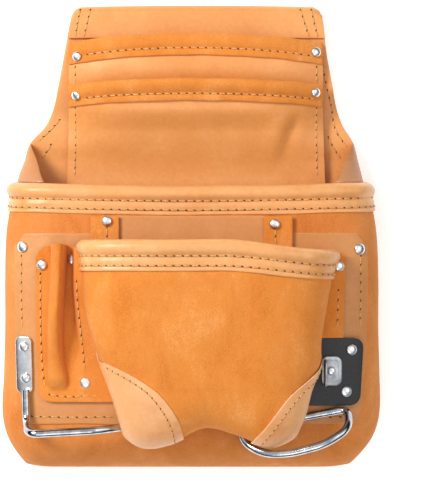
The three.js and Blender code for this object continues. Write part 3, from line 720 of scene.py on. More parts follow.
@dataclass(frozen=True)
class BagShape:
    """The bag's driving sizes and the surfaces that its pieces lie on."""

    # The whole bag, its leathers, and the gaps between stacked pieces.
    length: float = 315.0
    width: float = 256.0
    leather: float = 2.0
    suede: float = 2.0
    seat: float = 0.3
    lay: float = 0.55
    # The belt wrap: its room for a belt, its legs and its seam.
    tunnel: float = 6.5
    front_leg: float = 23.0
    back_leg: float = 94.0
    wrap_seam: float = 14.0
    # The flat pockets, with heights over the hem.
    upper_mouth: float = 288.0
    lower_mouth: float = 259.0
    pocket_hem: float = 196.0
    pocket_left: float = 84.0
    pocket_right: float = 90.0
    pocket_taper: float = 0.035
    taper_run: Point = (100.0, -20.0)
    pocket_ramp: float = 61.4
    gape: float = 6.5
    crease_ends: Point = (58.0, 72.5)
    crease_start: float = 38.0
    crease_length: float = 45.0
    # The suede strips over the flat pockets' mouths.
    strip_width: float = 14.5
    strip_thickness: float = 1.6
    strip_leg: float = 7.0
    upper_arch: float = 6.0
    lower_arch: float = 3.5
    # The main pouch and the rolled bands.
    main_mouth: float = 193.0
    main_depth: float = 52.0
    main_taper: float = 0.2
    main_round: float = 30.0
    main_boxiness: float = 5.0
    hem_boxiness: float = 2.6
    sag: float = 4.0
    band_width: float = 19.0
    band_thickness: float = 2.4
    band_roll: float = 2.2
    # The front pouch: its mouth, belly, seam and lean.
    front_mouth: float = 153.0
    front_depth: float = 42.0
    front_taper: float = 0.22
    front_boxiness: float = 3.4
    belly_boxiness: float = 2.2
    front_bottom: float = 30.0
    front_seam: float = 66.0
    front_belly: float = 14.0
    foot_start: float = 90.0
    front_half: float = 84.0
    front_middle: float = 12.0
    front_lean: float = 7.0
    front_turn: float = 0.74
    turn_ahead: float = 0.6
    front_round: float = 24.0
    front_band: float = 20.0
    # Outlines in shares of the half widths, from the hem or mouth on.
    back_outline: Table = Table(("at", "left", "right"), (
        (0, -0.885, 0.845), (0.06, -0.97, 0.955), (0.112, -1, 0.995), (0.2, -0.992, 0.995),
        (0.3, -0.985, 0.988), (0.4, -0.985, 0.988), (0.5, -0.978, 0.978), (0.57, -0.952, 0.95),
        (0.62, -0.935, 0.92), (0.66, -0.9, 0.895), (0.7, -0.868, 0.868), (0.735, -0.79, 0.815),
        (0.775, -0.742, 0.778), (0.83, -0.712, 0.752), (0.9, -0.68, 0.722), (0.96, -0.652, 0.705),
        (1, -0.632, 0.688)))
    front_outline: Table = Table(("at", "half", "middle", "pinch"), (
        (0, 1, 0, 0.02), (0.15, 0.995, -0.015, 0.03), (0.3, 0.98, -0.03, 0.04),
        (0.5, 0.94, -0.02, 0.08), (0.65, 0.9, 0.01, 0.1), (0.8, 0.845, 0.012, 0.24),
        (0.92, 0.79, 0.02, 0.28), (1, 0.735, 0.01, 0.3)))
    belly_across: Table = Table(("at", "drop"), (
        (-1, 0.45), (-0.7, 1), (-0.4, 0.72), (-0.05, 0.05), (0.3, 0.42), (0.62, 0.95), (1, 0.5)))

    def above(self, height: float) -> float:
        """A height over the hem as a place along Y."""
        return height - self.length / 2

    def edge(self, y: float, side: Side) -> float:
        """The left or right edge of the back."""
        return self.width / 2 * self.back_outline.at(y / self.length + 0.5, side.value)

    def across(self, y: float, share: float) -> float:
        """A place a share of the way from the back's left edge to its right edge."""
        return lerp(self.edge(y, Side.LEFT), self.edge(y, Side.RIGHT), share)

    def seam(self, height: Height, track: Sequence[Point]) -> Spot:
        """A row over a height field, from places across and heights over the hem."""
        return line_on(height, [(x, self.above(h)) for x, h in track])

    @property
    def leg_end(self) -> float:
        """Where the wrap's back leg ends, over the hem."""
        return self.length - self.back_leg

    @property
    def panel_rise(self) -> float:
        """How far the back panel stands off over the belt tunnel."""
        return self.tunnel + self.leather

    @property
    def fold(self) -> float:
        """The inner radius of the wrap's fold."""
        return (self.tunnel + self.leather + self.seat) / 2

    def rear(self, y: float) -> float:
        """The height of the back panel's rear face."""
        on_leg = smooth(y, self.above(self.leg_end - self.wrap_seam), self.above(self.leg_end))
        over = smooth(y, self.above(self.leg_end + self.wrap_seam),
                      self.above(self.leg_end + 2.6 * self.wrap_seam))
        step = self.leather + self.seat
        return on_leg * step + over * (self.panel_rise - step)

    def inner(self, y: float) -> float:
        """The height of the back panel's front face."""
        return self.rear(y) + self.leather

    def back_face(self, _x: float, y: float) -> float:
        """The back panel's front face as a height field."""
        return self.inner(y)

    def pocket_share(self, x: float) -> float:
        """How far across the flat pockets a place is, from -1 to 1."""
        return x / self.pocket_left if x < 0 else x / self.pocket_right

    def gape_at(self, x: float) -> float:
        """How far the pockets gape across."""
        return 1 - min(abs(self.pocket_share(x)), 1) ** 4

    def tapered(self, x: float, y: float) -> float:
        """A place across the flat pockets, which are a little wider towards their hems."""
        return x * (1 + self.pocket_taper * smooth(y, *self.taper_run))

    @property
    def inner_leg(self) -> float:
        """The room that a strip's inner leg takes."""
        return self.strip_thickness + 2 * self.seat

    def upper_rear(self, x: float, y: float) -> float:
        """The height of the rear face of the upper pocket's front."""
        near = smooth(y, self.above(self.upper_mouth - 3 * self.strip_width),
                      self.above(self.upper_mouth - self.strip_width))
        hem = self.above(self.pocket_hem)
        wide = smooth(y, hem, self.above(self.upper_mouth - self.strip_width))
        gape = self.gape * wide + (self.inner_leg + self.leather + self.seat) * near
        climb = smooth(y, hem, self.above(self.pocket_hem + self.pocket_ramp))
        slope = self.leather + self.panel_rise * climb
        under = lerp(self.inner(y), max(slope, self.inner(y)), self.gape_at(x))
        return under + self.lay + self.inner_leg * near + gape * self.gape_at(x)

    def lower_rear(self, x: float, y: float) -> float:
        """The height of the rear face of the lower pocket's front."""
        near = smooth(y, self.above(self.lower_mouth - 2.2 * self.strip_width),
                      self.above(self.lower_mouth - self.strip_width))
        wide = smooth(y, self.above(self.pocket_hem),
                      self.above(self.lower_mouth - self.strip_width))
        gape = (self.gape + self.inner_leg * near) * wide
        dents = self.crease(x, y) + 0.8 * waver(x, y, 34, 3)
        soft = dents * wide * self.gape_at(x) * (1 - near)
        rest = self.leather + self.lay + self.inner_leg * near
        return self.upper_rear(x, y) + rest + gape * self.gape_at(x) - soft

    def crease(self, x: float, y: float) -> float:
        """How deep the lower pocket is creased at a place: a dent with a swell beside it."""
        share = clamp((y - self.crease_start) / self.crease_length, 0, 1.3)
        beside = x - lerp(*self.crease_ends, share)
        return 3.4 * ridge(beside, 4.2) - 2.4 * ridge(beside + 9, 7)

    def main_sides(self, y: float, outset: float) -> Point:
        """Where the main pouch's left and right sides are at a height."""
        return self.edge(y, Side.LEFT) - outset, self.edge(y, Side.RIGHT) + outset

    def main_reach(self, y: float, outset: float) -> float:
        """How far the main pouch stands out at a height."""
        down = clamp((self.above(self.main_mouth) - y) / self.main_mouth, 0, 1)
        below = (self.above(self.main_round) - y) / (self.main_round + outset)
        depth = self.main_depth * (1 - self.main_taper * down * down) + outset
        return depth * crown(max(below, 0), self.hem_boxiness)

    def main_point(self, angle: float, y: float, outset: float) -> Vector:
        """A point of the main pouch at an angle round its section."""
        left, right = self.main_sides(y, outset)
        across, out = superellipse(angle, self.main_boxiness)
        x = (left + right) / 2 - across * (right - left) / 2
        foot = self.leather + self.seat
        return Vector((x, y, foot + out * (self.main_reach(y, outset) + self.ripple(x, y))))

    def ripple(self, x: float, y: float) -> float:
        """The soft unevenness of the main pouch's front and what is sewn on it."""
        return 0.9 * waver(x, y, 60, 1) + 0.35 * waver(x, y, 22, 2)

    def main_skin(self, x: float, y: float, outset: float) -> float:
        """The height of the main pouch's face over a place."""
        left, right = self.main_sides(y, outset)
        share = (2 * x - left - right) / (right - left)
        reach = self.main_reach(y, outset) + self.ripple(x, y)
        return self.leather + self.seat + reach * crown(share, self.main_boxiness)

    def skin_at(self, outset: float) -> Height:
        """The main pouch's face at an outset as a height field."""
        return lambda x, y: self.main_skin(x, y, outset)

    def main_lip(self, angle: float) -> float:
        """The height of the main mouth at an angle round its section."""
        return self.main_mouth - self.sag * math.sin(angle) ** 2

    @property
    def panel_face(self) -> float:
        """The outset of the tool panel's outer face."""
        return self.lay + self.leather

    @property
    def sewn_on(self) -> float:
        """The outset of the rear of what is sewn on the tool panel."""
        return self.panel_face + self.lay

    @property
    def turn_start(self) -> float:
        """Where the front pouch's face starts to turn under, over the hem."""
        return self.front_bottom + self.front_round

    def front_share(self, height: float) -> float:
        """The share down the front pouch's face at a height over the hem."""
        return self.front_turn * (self.front_mouth - height) / (self.front_mouth - self.turn_start)

    def front_height(self, share: float) -> float:
        """How far over the hem a share down the front pouch's face is."""
        if share <= self.front_turn:
            return lerp(self.front_mouth, self.turn_start, share / self.front_turn)
        ahead = min((share - self.front_turn) / (self.turn_ahead * (1 - self.front_turn)), 1)
        sunk = superellipse(ahead * math.pi / 2, self.belly_boxiness)[1]
        return self.turn_start - self.front_round * sunk

    def front_point(self, angle: float, share: float, outset: float) -> Vector:
        """A point of the front pouch.

        Args:
            angle: The angle round its section, 0 at its left foot.
            share: The share down its face, round its belly and back to its seam.
            outset: How far the point is outside the pouch's outer face.

        Returns:
            The point.
        """
        across, out = superellipse(angle, self.front_boxiness)
        height = self.front_height(share)
        depth, hang, spread = 1.0, 0.0, 1.0
        if share > self.front_turn:
            turn = (share - self.front_turn) / (1 - self.front_turn)
            ahead = min(turn / self.turn_ahead, 1)
            back = max((turn - self.turn_ahead) / (1 - self.turn_ahead), 0)
            outwards, downwards = superellipse(ahead * math.pi / 2, self.belly_boxiness)
            height = lerp(height, self.front_seam, back)
            depth = lerp(0.5 + 0.5 * outwards, 0, back)
            hang = downwards ** 1.5 * (1 - back)
            spread = 1 - back
        foot_share = self.front_share(self.foot_start)
        if share > foot_share:
            foot = lerp(self.foot_start, self.front_seam, (share - foot_share) / (1 - foot_share))
            height = lerp(foot, height, smooth(out, 0, 0.6))
        drop = self.front_mouth - self.front_bottom
        down = clamp((self.front_mouth - height) / drop, 0, 1)
        place = self.belly_across.at(-across, "drop")
        half = self.front_half * self.front_outline.at(down, "half") + outset
        middle = self.front_middle + self.front_half * self.front_outline.at(down, "middle")
        pinch = self.front_outline.at(down, "pinch") * (1 - out * spread) ** 2
        x = middle - across * half * (1 - pinch)
        lean = self.front_lean * smooth(-across, 0.1, 1) * (1 - down)
        y = self.above(height - lean) - (self.front_belly * place + outset) * hang * out
        soft = (1.3 * waver(x, y, 38, 5) + 0.5 * waver(x, y, 15, 6)) * smooth(down, 0.05, 0.4)
        rise = (self.front_depth * (1 - self.front_taper * down * down) + outset + soft) * depth
        return Vector((x, y, self.main_skin(x, y, self.sewn_on) + out * rise))

    def front_foot(self, sign: int, height: float) -> Point:
        """Where the front pouch is sewn on at a height, on its left or right."""
        fallen = self.front_mouth - max(height, self.front_seam)
        down = fallen / (self.front_mouth - self.front_bottom)
        table = self.front_outline
        half = self.front_half * table.at(down, "half") * (1 - table.at(down, "pinch"))
        middle = self.front_middle + self.front_half * table.at(down, "middle")
        lean = self.front_lean * (1 - down) if sign > 0 else 0
        return middle + sign * half, self.above(height - lean)


SHAPE = BagShape()


@dataclass(frozen=True)
class BackAndPockets:
    """The back panel, the belt wrap and the two flat pockets with their suede strips."""

    shape: BagShape = SHAPE
    side_inset: float = 4.5
    hidden_hem: float = 182.0
    row_drop: float = 0.66
    bow: Point = (1.2, 2.4)
    # Rows of stitches: places across, and heights over the hem.
    upper_row: Sequence[float] = (272, 266, 261)
    lower_row: Sequence[float] = (244, 225, 198)
    wrap_rows: Sequence[Sequence[Point]] = (
        ((-76.5, 311.5), (-78.5, 300.5), (-79.7, 292.5)),
        ((-69.5, 311.5), (-72, 300.5), (-74, 292.5)),
        ((74.5, 311.5), (78, 300.5), (80.5, 292.5)),
        ((82, 311.5), (84.5, 300.5), (86.5, 292.5)))
    wing_rows: Sequence[Sequence[Point]] = (
        ((-91, 236.5), (-98, 228.5), (-106, 221.5)),
        ((-97, 219.5), (-100, 214.5), (-104, 209.5)),
        ((90, 272.5), (93, 257.5), (96, 245.5), (99, 229.5), (107, 217.5)),
        ((94, 224.5), (98, 216.5), (103, 209.5)))

    def build(self) -> None:
        """Makes all pieces of the upper bag."""
        self.back()
        self.wrap()
        for name, mouth in self.mouths().items():
            self.pocket(f"{name}_pocket_front", *mouth)
        for name, mouth in self.mouths().items():
            self.strip(f"{name}_strip", *mouth)
        self.sew()

    def mouths(self) -> dict[str, tuple[float, float, Height]]:
        """Each flat pocket's mouth height, the rise of its arch and its rear face."""
        s = self.shape
        return {"upper": (s.upper_mouth, s.upper_arch, s.upper_rear),
                "lower": (s.lower_mouth, s.lower_arch, s.lower_rear)}

    def back(self) -> None:
        """The smooth back panel with its wings."""
        s = self.shape
        top = s.length - s.fold - s.leather - s.seat

        def place(u: float, v: float) -> Vector:
            y = s.above(v)
            return Vector((s.across(y, u), y, s.inner(y)))

        sheet("back_panel_leather", steps(0, 1, 60), steps(0, top, 130), place, s.leather,
              SMOOTH_HIDE, ("back_panel",))

    def wrap(self) -> None:
        """The belt wrap folded over the top."""
        s = self.shape
        radius = s.fold + s.leather
        middle = s.length - radius
        spine = [(h, 0.0) for h in steps(s.leg_end, middle, 40)]
        for degrees in steps(-90, 90, 24)[1:-1]:
            angle = math.radians(degrees)
            spine.append((middle + radius * math.cos(angle), radius * (1 + math.sin(angle))))
        spine += [(h, 2 * radius) for h in steps(middle, s.length - s.front_leg, 14)]

        def place(u: float, v: float) -> Vector:
            h, z = spine[int(v)]
            y = s.above(h)
            x = s.across(y, u)
            rise = smooth(z, radius, 2 * radius)
            lip = 0.8 * waver(x, y, 30, 9) * rise
            side = abs(2 * u - 1)
            top = smooth(h, middle - 8, middle + radius)
            bow = (self.bow[0] * side ** 2 + self.bow[1] * smooth(side, 0.93, 1) ** 2) * top
            return Vector((x, y + 0.6 * waver(x, 0, 26, 8) * rise - bow, z + lip * 0.4))

        sheet("belt_wrap_leather", steps(0, 1, 70), range(len(spine)), place, s.leather,
              SMOOTH_HIDE, ("belt_wrap",), probe=0.99)

    def across(self, count: int) -> list[float]:
        """Places across the pockets that are closer towards their sides."""
        s = self.shape
        shares = [math.sin(math.radians(d)) for d in steps(-90, 90, count)]
        return [share * (s.pocket_left if share < 0 else s.pocket_right) for share in shares]

    def arch(self, rise: float, x: float) -> float:
        """How far a mouth arches up at a place across."""
        return rise * (1 - self.shape.pocket_share(x) ** 2)

    def pocket(self, node: str, mouth: float, rise: float, rear: Height) -> None:
        """One pocket front."""
        s = self.shape

        def place(x: float, v: float) -> Vector:
            top = mouth - s.strip_thickness - s.seat + self.arch(rise, x)
            y = s.above(lerp(self.hidden_hem, top, v))
            return Vector((s.tapered(x, y), y, rear(x, y) + s.leather))

        sheet(f"{node}_leather", self.across(90), steps(0, 1, 70), place, s.leather,
              SMOOTH_HIDE, (node,))

    def strip(self, node: str, mouth: float, rise: float, rear: Height) -> None:
        """One suede strip folded over a pocket's mouth, with a full roll along its top."""
        s = self.shape
        out = s.leather + s.seat
        t, w = s.strip_thickness, s.strip_width
        section = rounded([
            (out, -w), (out + t, -w), (out + t + 0.1, -0.8 * w), (out + 0.55 * t, -0.66 * w),
            (out + t + 0.9, -0.5 * w), (out + t + 1.5, -0.25 * w), (out + t, 0.02 * w),
            (s.leather / 2, 0.07 * w), (-0.7 * t, 0), (-s.seat - t, -t),
            (-s.seat - t, -s.strip_leg), (-s.seat, -s.strip_leg), (-s.seat, -t), (out, -t),
            (out, -0.5 * w)])

        def place(x: float, corner: Point) -> Vector:
            lift, down = corner
            h = mouth + self.arch(rise, x) + down
            y = s.above(h) + 0.5 * waver(x, mouth, 17, 4)
            level = rear(x, min(s.above(h), s.above(mouth + self.arch(rise, x) - t)))
            return Vector((s.tapered(x, y), y, level + lift + 0.35 * waver(x, down, 9, 7)))

        stations = steps(-s.pocket_left, s.pocket_right, 150)
        swept(f"{node}_suede", stations, section, place, SUEDE_HIDE, (node,))

    def mouth_row(self, mouth: float, rise: float, rear: Height) -> Spot:
        """The row along a pocket's strip."""
        s = self.shape
        face = lifted(rear, s.leather + s.seat + 0.8 * s.strip_thickness)

        def spot(share: float) -> tuple[Vector, Vector]:
            x = lerp(-s.pocket_left + 13, s.pocket_right - 5, share)
            y = s.above(mouth + self.arch(rise, x) - self.row_drop * s.strip_width)
            return on_height(face, x, y)

        return spot

    def wrap_face(self, _x: float, y: float) -> float:
        """The wrap's outer face as a height field."""
        s = self.shape
        bend = s.fold + s.leather
        over = max(y - s.above(s.length - bend), 0)
        return bend + math.sqrt(max(bend ** 2 - over ** 2, 0))

    def sew(self) -> None:
        """All stitches of the upper bag."""
        s = self.shape
        rows = Stitching("upper_bag")
        for mouth in self.mouths().values():
            rows.row(self.mouth_row(*mouth))
        upper, lower = lifted(s.upper_rear, s.leather), lifted(s.lower_rear, s.leather)
        for x in (-s.pocket_left + self.side_inset, s.pocket_right - self.side_inset):
            rows.row(s.seam(upper, [(x, h) for h in self.upper_row]))
            rows.row(s.seam(lower, list(zip((x, x, x * 1.01), self.lower_row))))
        for track in self.wrap_rows:
            rows.row(s.seam(self.wrap_face, track))
        for track in self.wing_rows:
            rows.row(s.seam(s.back_face, track))
        rows.finish(Slot.SMOOTH)


@dataclass(frozen=True)
class Band:
    """A rolled leather band over a pouch's mouth, sewn through twice."""

    name: str
    node: str
    width: float
    first_row: float = 0.5
    second_row: float = 0.82
    wall: float = 2.0
    start: float = 0.13
    row_inset: float = 0.06
    pitch: float = 5.6

    def section(self, s: BagShape) -> list[Point]:
        """The band's section as outsets and drops below its top."""
        w, out = self.width, s.lay + s.band_thickness
        inner = -self.wall - s.lay
        return rounded([
            (s.lay, -w), (out - 0.2, -w), (out, -0.93 * w), (out - 0.7, -self.second_row * w),
            (out + 0.25, -0.68 * w), (out - 0.6, -self.first_row * w), (out + 1.5, -0.39 * w),
            (out + s.band_roll + 0.5, -0.24 * w), (out + 1.6, -0.05 * w), (s.lay, 0.05 * w),
            (-self.wall, 0.03 * w), (inner - s.band_thickness, -0.12 * w),
            (inner - s.band_thickness, -0.6 * w), (inner, -0.6 * w), (inner, -s.band_thickness),
            (s.lay, -s.band_thickness), (s.lay, -0.5 * w)])

    def build(self, s: BagShape, surface: Surface) -> None:
        """Makes the band and its stitches.

        Args:
            s: The bag's shape.
            surface: The pouch's face from an angle, a drop below the mouth and an outset.
        """
        stations = steps(self.start, math.pi - self.start, 420)

        def place(angle: float, corner: Point) -> Vector:
            outset, down = corner
            base = surface(angle, down, outset)
            roll = clamp((outset - s.lay) / s.band_roll, 0, 1)
            swell = 0.55 * waver(base.x, down, 21, 11) + 0.28 * waver(base.x, down, 7, 12)
            return surface(angle, down + 0.5 * waver(base.x, 0, 40, 13), outset + roll * swell)

        swept(self.name, stations, self.section(s), place, BAND_HIDE, (self.node,))
        rows = Stitching(self.node)
        outset = s.lay + s.band_thickness
        rows.row(self.row(surface, self.first_row, outset), self.pitch)
        rows.row(self.row(surface, self.second_row, outset - 0.05), self.pitch)
        rows.finish(Slot.SMOOTH)

    def row(self, surface: Surface, drop: float, outset: float) -> Spot:
        """One row round the band, at a share of its width below the mouth."""
        first = self.start + self.row_inset
        last = math.pi - self.start - self.row_inset

        def spot(share: float) -> tuple[Vector, Vector]:
            angle = lerp(first, last, share)
            low = surface(angle, -drop * self.width, outset)
            high = surface(angle, -drop * self.width, outset + 1)
            return low, (high - low).normalized()

        return spot


@dataclass(frozen=True)
class MainPouch:
    """The big suede pouch, its gussets, its band and what is sewn flat on its front."""

    shape: BagShape = SHAPE
    gusset_top: float = 220.0
    gusset_rise: float = 42.0
    panel_top: float = 158.0
    panel_bottom: float = 30.0
    panel_half: float = 119.0
    panel_corner: float = 8.0
    narrowing: float = 0.05
    strap_width: float = 19.0
    strap_left: float = -57.5
    strap_right: float = 58.5
    strap_end: float = 146.0
    gusset_width: Point = (20.5, 0.9)
    pitch: float = 6.2
    side_row: Sequence[float] = (143, 115, 95)
    strap_row: Sequence[float] = (162, 156, 150)
    hem_rows: Sequence[Sequence[Point]] = (
        ((-107, 35), (-80, 34.5), (-52, 35)), ((80, 35), (94, 34.5), (107, 35)))

    @property
    def tongue_top(self) -> float:
        """Where the tool panel's tongue meets the band."""
        s = self.shape
        return s.main_mouth - s.band_width - s.sag - 2 * s.seat

    def build(self) -> None:
        """Makes all pieces of the main pouch."""
        s = self.shape
        self.shell()
        for side in Side:
            self.gusset(side)

        def mouth(angle: float, down: float, outset: float) -> Vector:
            return s.main_point(angle, s.above(s.main_lip(angle) + down), outset)

        Band("main_binding_leather", "main_binding", s.band_width).build(s, mouth)
        self.panel()
        self.strap("strap_left", self.strap_left)
        self.strap("strap_right", self.strap_right)
        self.sew()

    def shell(self) -> None:
        """The suede pouch, open at its mouth and closed over its round hem."""
        s = self.shape
        rows = [(share, 0.0) for share in steps(1, 0, 60)]
        rows += [(0.0, turn) for turn in steps(0, 1, 30)[1:]]

        def place(angle: float, v: float) -> Vector:
            share, turn = rows[int(v)]
            top = s.above(s.main_lip(angle) - s.band_thickness - s.seat)
            y = lerp(s.above(s.main_round), top, share)
            if turn > 0:
                sunk = superellipse(turn * math.pi / 2, s.hem_boxiness)[1]
                y = s.above(s.main_round) - s.main_round * sunk
            spot = s.main_point(angle, y, 0)
            # The pouch's feet are pressed onto the back, so that no light comes in under them.
            spot.z -= s.lay * max(1 - 4 * math.sin(angle), 0)
            return spot

        sheet("main_shell_suede", steps(0, math.pi, 150), range(len(rows)), place, s.suede,
              SHELL_HIDE, ("main_shell",))

    def gusset(self, side: Side) -> None:
        """One soft side wall that curls in above the band."""
        s = self.shape
        sign = 1 if side is Side.LEFT else -1

        def place(u: float, v: float) -> Vector:
            y = s.above(lerp(s.main_mouth + s.seat, self.gusset_top, v))
            angle = u * math.pi / 2
            width = lerp(*self.gusset_width, v)
            rise = lerp(self.gusset_rise, 4, v ** 0.9)
            x = s.edge(y, side) + sign * width * (1 - math.cos(angle))
            soft = 0.8 * waver(y, 40 * u, 18, 15) * math.sin(math.pi * u)
            return Vector((x + sign * soft, y, s.inner(y) + s.seat + rise * math.sin(angle)))

        node = f"gusset_{side.value}"
        sheet(f"{node}_leather", steps(0, 1, 30), steps(0, 1, 30), place, 0.8 * s.leather,
              GUSSET_HIDE, (node,), facing=Vector((-sign, 0, 0)), probe=0.2)

    def top_at(self, x: float) -> float:
        """How far the tool panel's top edge is over the hem at a place across."""
        inner = self.strap_width / 2 - 2
        ramp = smooth(x, self.strap_left - inner, self.strap_left + inner)
        ramp *= 1 - smooth(x, self.strap_right - inner, self.strap_right + inner)
        corner = smooth(abs(x), self.panel_half - self.panel_corner, self.panel_half)
        wave = 0.7 * waver(x, 0, 30, 17)
        return lerp(self.panel_top + wave, self.tongue_top, ramp) - self.panel_corner * corner

    def panel(self) -> None:
        """The smooth tool panel with its tongue."""
        s = self.shape

        def place(x: float, v: float) -> Vector:
            h = lerp(self.top_at(x), self.panel_bottom + 0.8 * waver(x, 9, 40, 18), v)
            slim = x * (1 - self.narrowing * v ** 3)
            return Vector((slim, s.above(h), s.main_skin(slim, s.above(h), s.panel_face)))

        turn = 75
        columns = [self.panel_half * math.sin(math.radians(d)) / math.sin(math.radians(turn))
                   for d in steps(-turn, turn, 160)]
        sheet("tool_panel_leather", columns, steps(0, 1, 90), place, s.leather, PANEL_HIDE,
              ("tool_panel",))

    def strap(self, node: str, middle: float) -> None:
        """One suede strap from the band to behind the front pouch."""
        s = self.shape

        def place(u: float, v: float) -> Vector:
            x = middle + u * self.strap_width
            y = s.above(lerp(self.tongue_top, self.strap_end, v))
            return Vector((x, y, s.main_skin(x, y, s.sewn_on + s.suede)))

        sheet(f"{node}_suede", steps(-0.5, 0.5, 16), steps(0, 1, 20), place, s.suede, SUEDE_HIDE,
              (node,))

    def sew(self) -> None:
        """The stitches round the tool panel and down the straps."""
        s = self.shape
        rows = Stitching("tool_panel")
        face, strap = s.skin_at(s.panel_face), s.skin_at(s.sewn_on + s.suede)
        for sign in (-1, 1):
            side = sign * (self.panel_half - 5)
            columns = (side, side, side * 0.995)
            rows.row(s.seam(face, list(zip(columns, self.side_row))), self.pitch)
        for track in self.hem_rows:
            rows.row(s.seam(face, track), self.pitch)
        for x in (self.strap_left + 1.5, self.strap_right - 2):
            rows.row(s.seam(strap, [(x, h) for h in self.strap_row]), 5)
        rows.finish(Slot.PANEL)


@dataclass(frozen=True)
class FrontPouch:
    """The bulged suede pouch with its band, corner patches and sewn flanges."""

    shape: BagShape = SHAPE
    patch_tip: float = 74.0
    patch_start: float = 0.1
    patch_lift: float = 0.9
    row_inset: float = 0.09
    left_curve: Triple = (0.27, 1.6, 0.75)
    right_curve: Triple = (0.42, 1.0, 1.1)
    flange_width: float = 8.0
    flange_gap: float = 1.2
    flange_slant: float = 3.0
    flange_foot: float = 54.0
    flange_end: float = 89.5

    def build(self) -> None:
        """Makes all pieces of the front pouch."""
        s = self.shape
        top = s.front_share(s.front_mouth - s.band_thickness - s.seat)
        rows = steps(top, s.front_turn, 60) + steps(s.front_turn, 1, 50)[1:]
        sheet("front_pouch_suede", steps(0, math.pi, 130), rows,
              lambda angle, share: s.front_point(angle, share, 0), s.suede, SUEDE_HIDE,
              ("front_pouch",), probe=0.3, even=False)

        def mouth(angle: float, down: float, outset: float) -> Vector:
            return s.front_point(angle, s.front_share(s.front_mouth + down), outset)

        Band("front_binding_leather", "front_binding", s.front_band).build(s, mouth)
        seams = Stitching("front_pouch")
        self.patch(Side.LEFT, self.left_curve, seams)
        self.patch(Side.RIGHT, self.right_curve, seams)
        self.flange(seams)
        seams.finish(Slot.SUEDE)

    def patch(self, side: Side, curve: Triple, seams: Stitching) -> None:
        """One smooth corner patch, with stitches inside its curved edge.

        Args:
            side: The side that it is on.
            curve: How far across its edge starts, and the two powers that bend the edge.
            seams: The stitching that its row joins.
        """
        s = self.shape
        start, power, fall = curve
        low = s.front_turn + (1 - s.front_turn) * 0.66
        high = s.front_share(self.patch_tip)

        def reach(v: float) -> float:
            level = (s.front_height(lerp(low, high, v)) - s.front_bottom) / (
                self.patch_tip - s.front_bottom)
            return (1 - clamp(level, 0, 1) ** power) ** fall

        def place(u: float, v: float, above: float = 0.0, inset: float = 0.0) -> Vector:
            across = min(lerp(1, start, reach(v)) + inset, 0.99)
            far = math.atan2(crown(across, s.front_boxiness), across)
            angle = lerp(self.patch_start, max(far, self.patch_start + 0.03), u)
            lift = lerp(0.15, self.patch_lift, smooth(v, 0.97, 0.8))
            outset = lift + s.leather + above
            turn = angle if side is Side.LEFT else math.pi - angle
            return s.front_point(turn, lerp(low, high, v), outset)

        node = f"patch_{side.value}"
        sheet(f"{node}_leather", steps(0, 1, 50), steps(0, 0.96, 70), place, s.leather,
              PATCH_HIDE, (node,), probe=0.6, even=False)

        def spot(share: float) -> tuple[Vector, Vector]:
            v = lerp(0.88, 0.05, share)
            base = place(1, v, 0, self.row_inset)
            return base, (place(1, v, 1, self.row_inset) - base).normalized()

        seams.row(spot, 4.6)

    def flange(self, seams: Stitching) -> None:
        """The flat flange on the pouch's right; the left one is part of the tool loop's piece."""
        s = self.shape
        face = s.skin_at(s.sewn_on + s.suede)

        def outer(height: float) -> float:
            down = (s.front_mouth - height) / (s.front_mouth - self.flange_foot)
            return s.front_middle + (s.front_half + self.flange_width - self.flange_slant * down)

        def place(u: float, height: float) -> Vector:
            foot, y = s.front_foot(1, height)
            x = lerp(foot + self.flange_gap, outer(height), u)
            return Vector((x, y, face(x, y)))

        sheet("flange_right_suede", steps(0, 1, 24), steps(s.front_mouth - 2, self.flange_end, 60),
              place, s.suede, SUEDE_HIDE, ("flange_right",))
        track = [(outer(h) - 4.5, h - 6) for h in (126, 114, self.flange_end + 10)]
        seams.row(s.seam(face, track), 6)


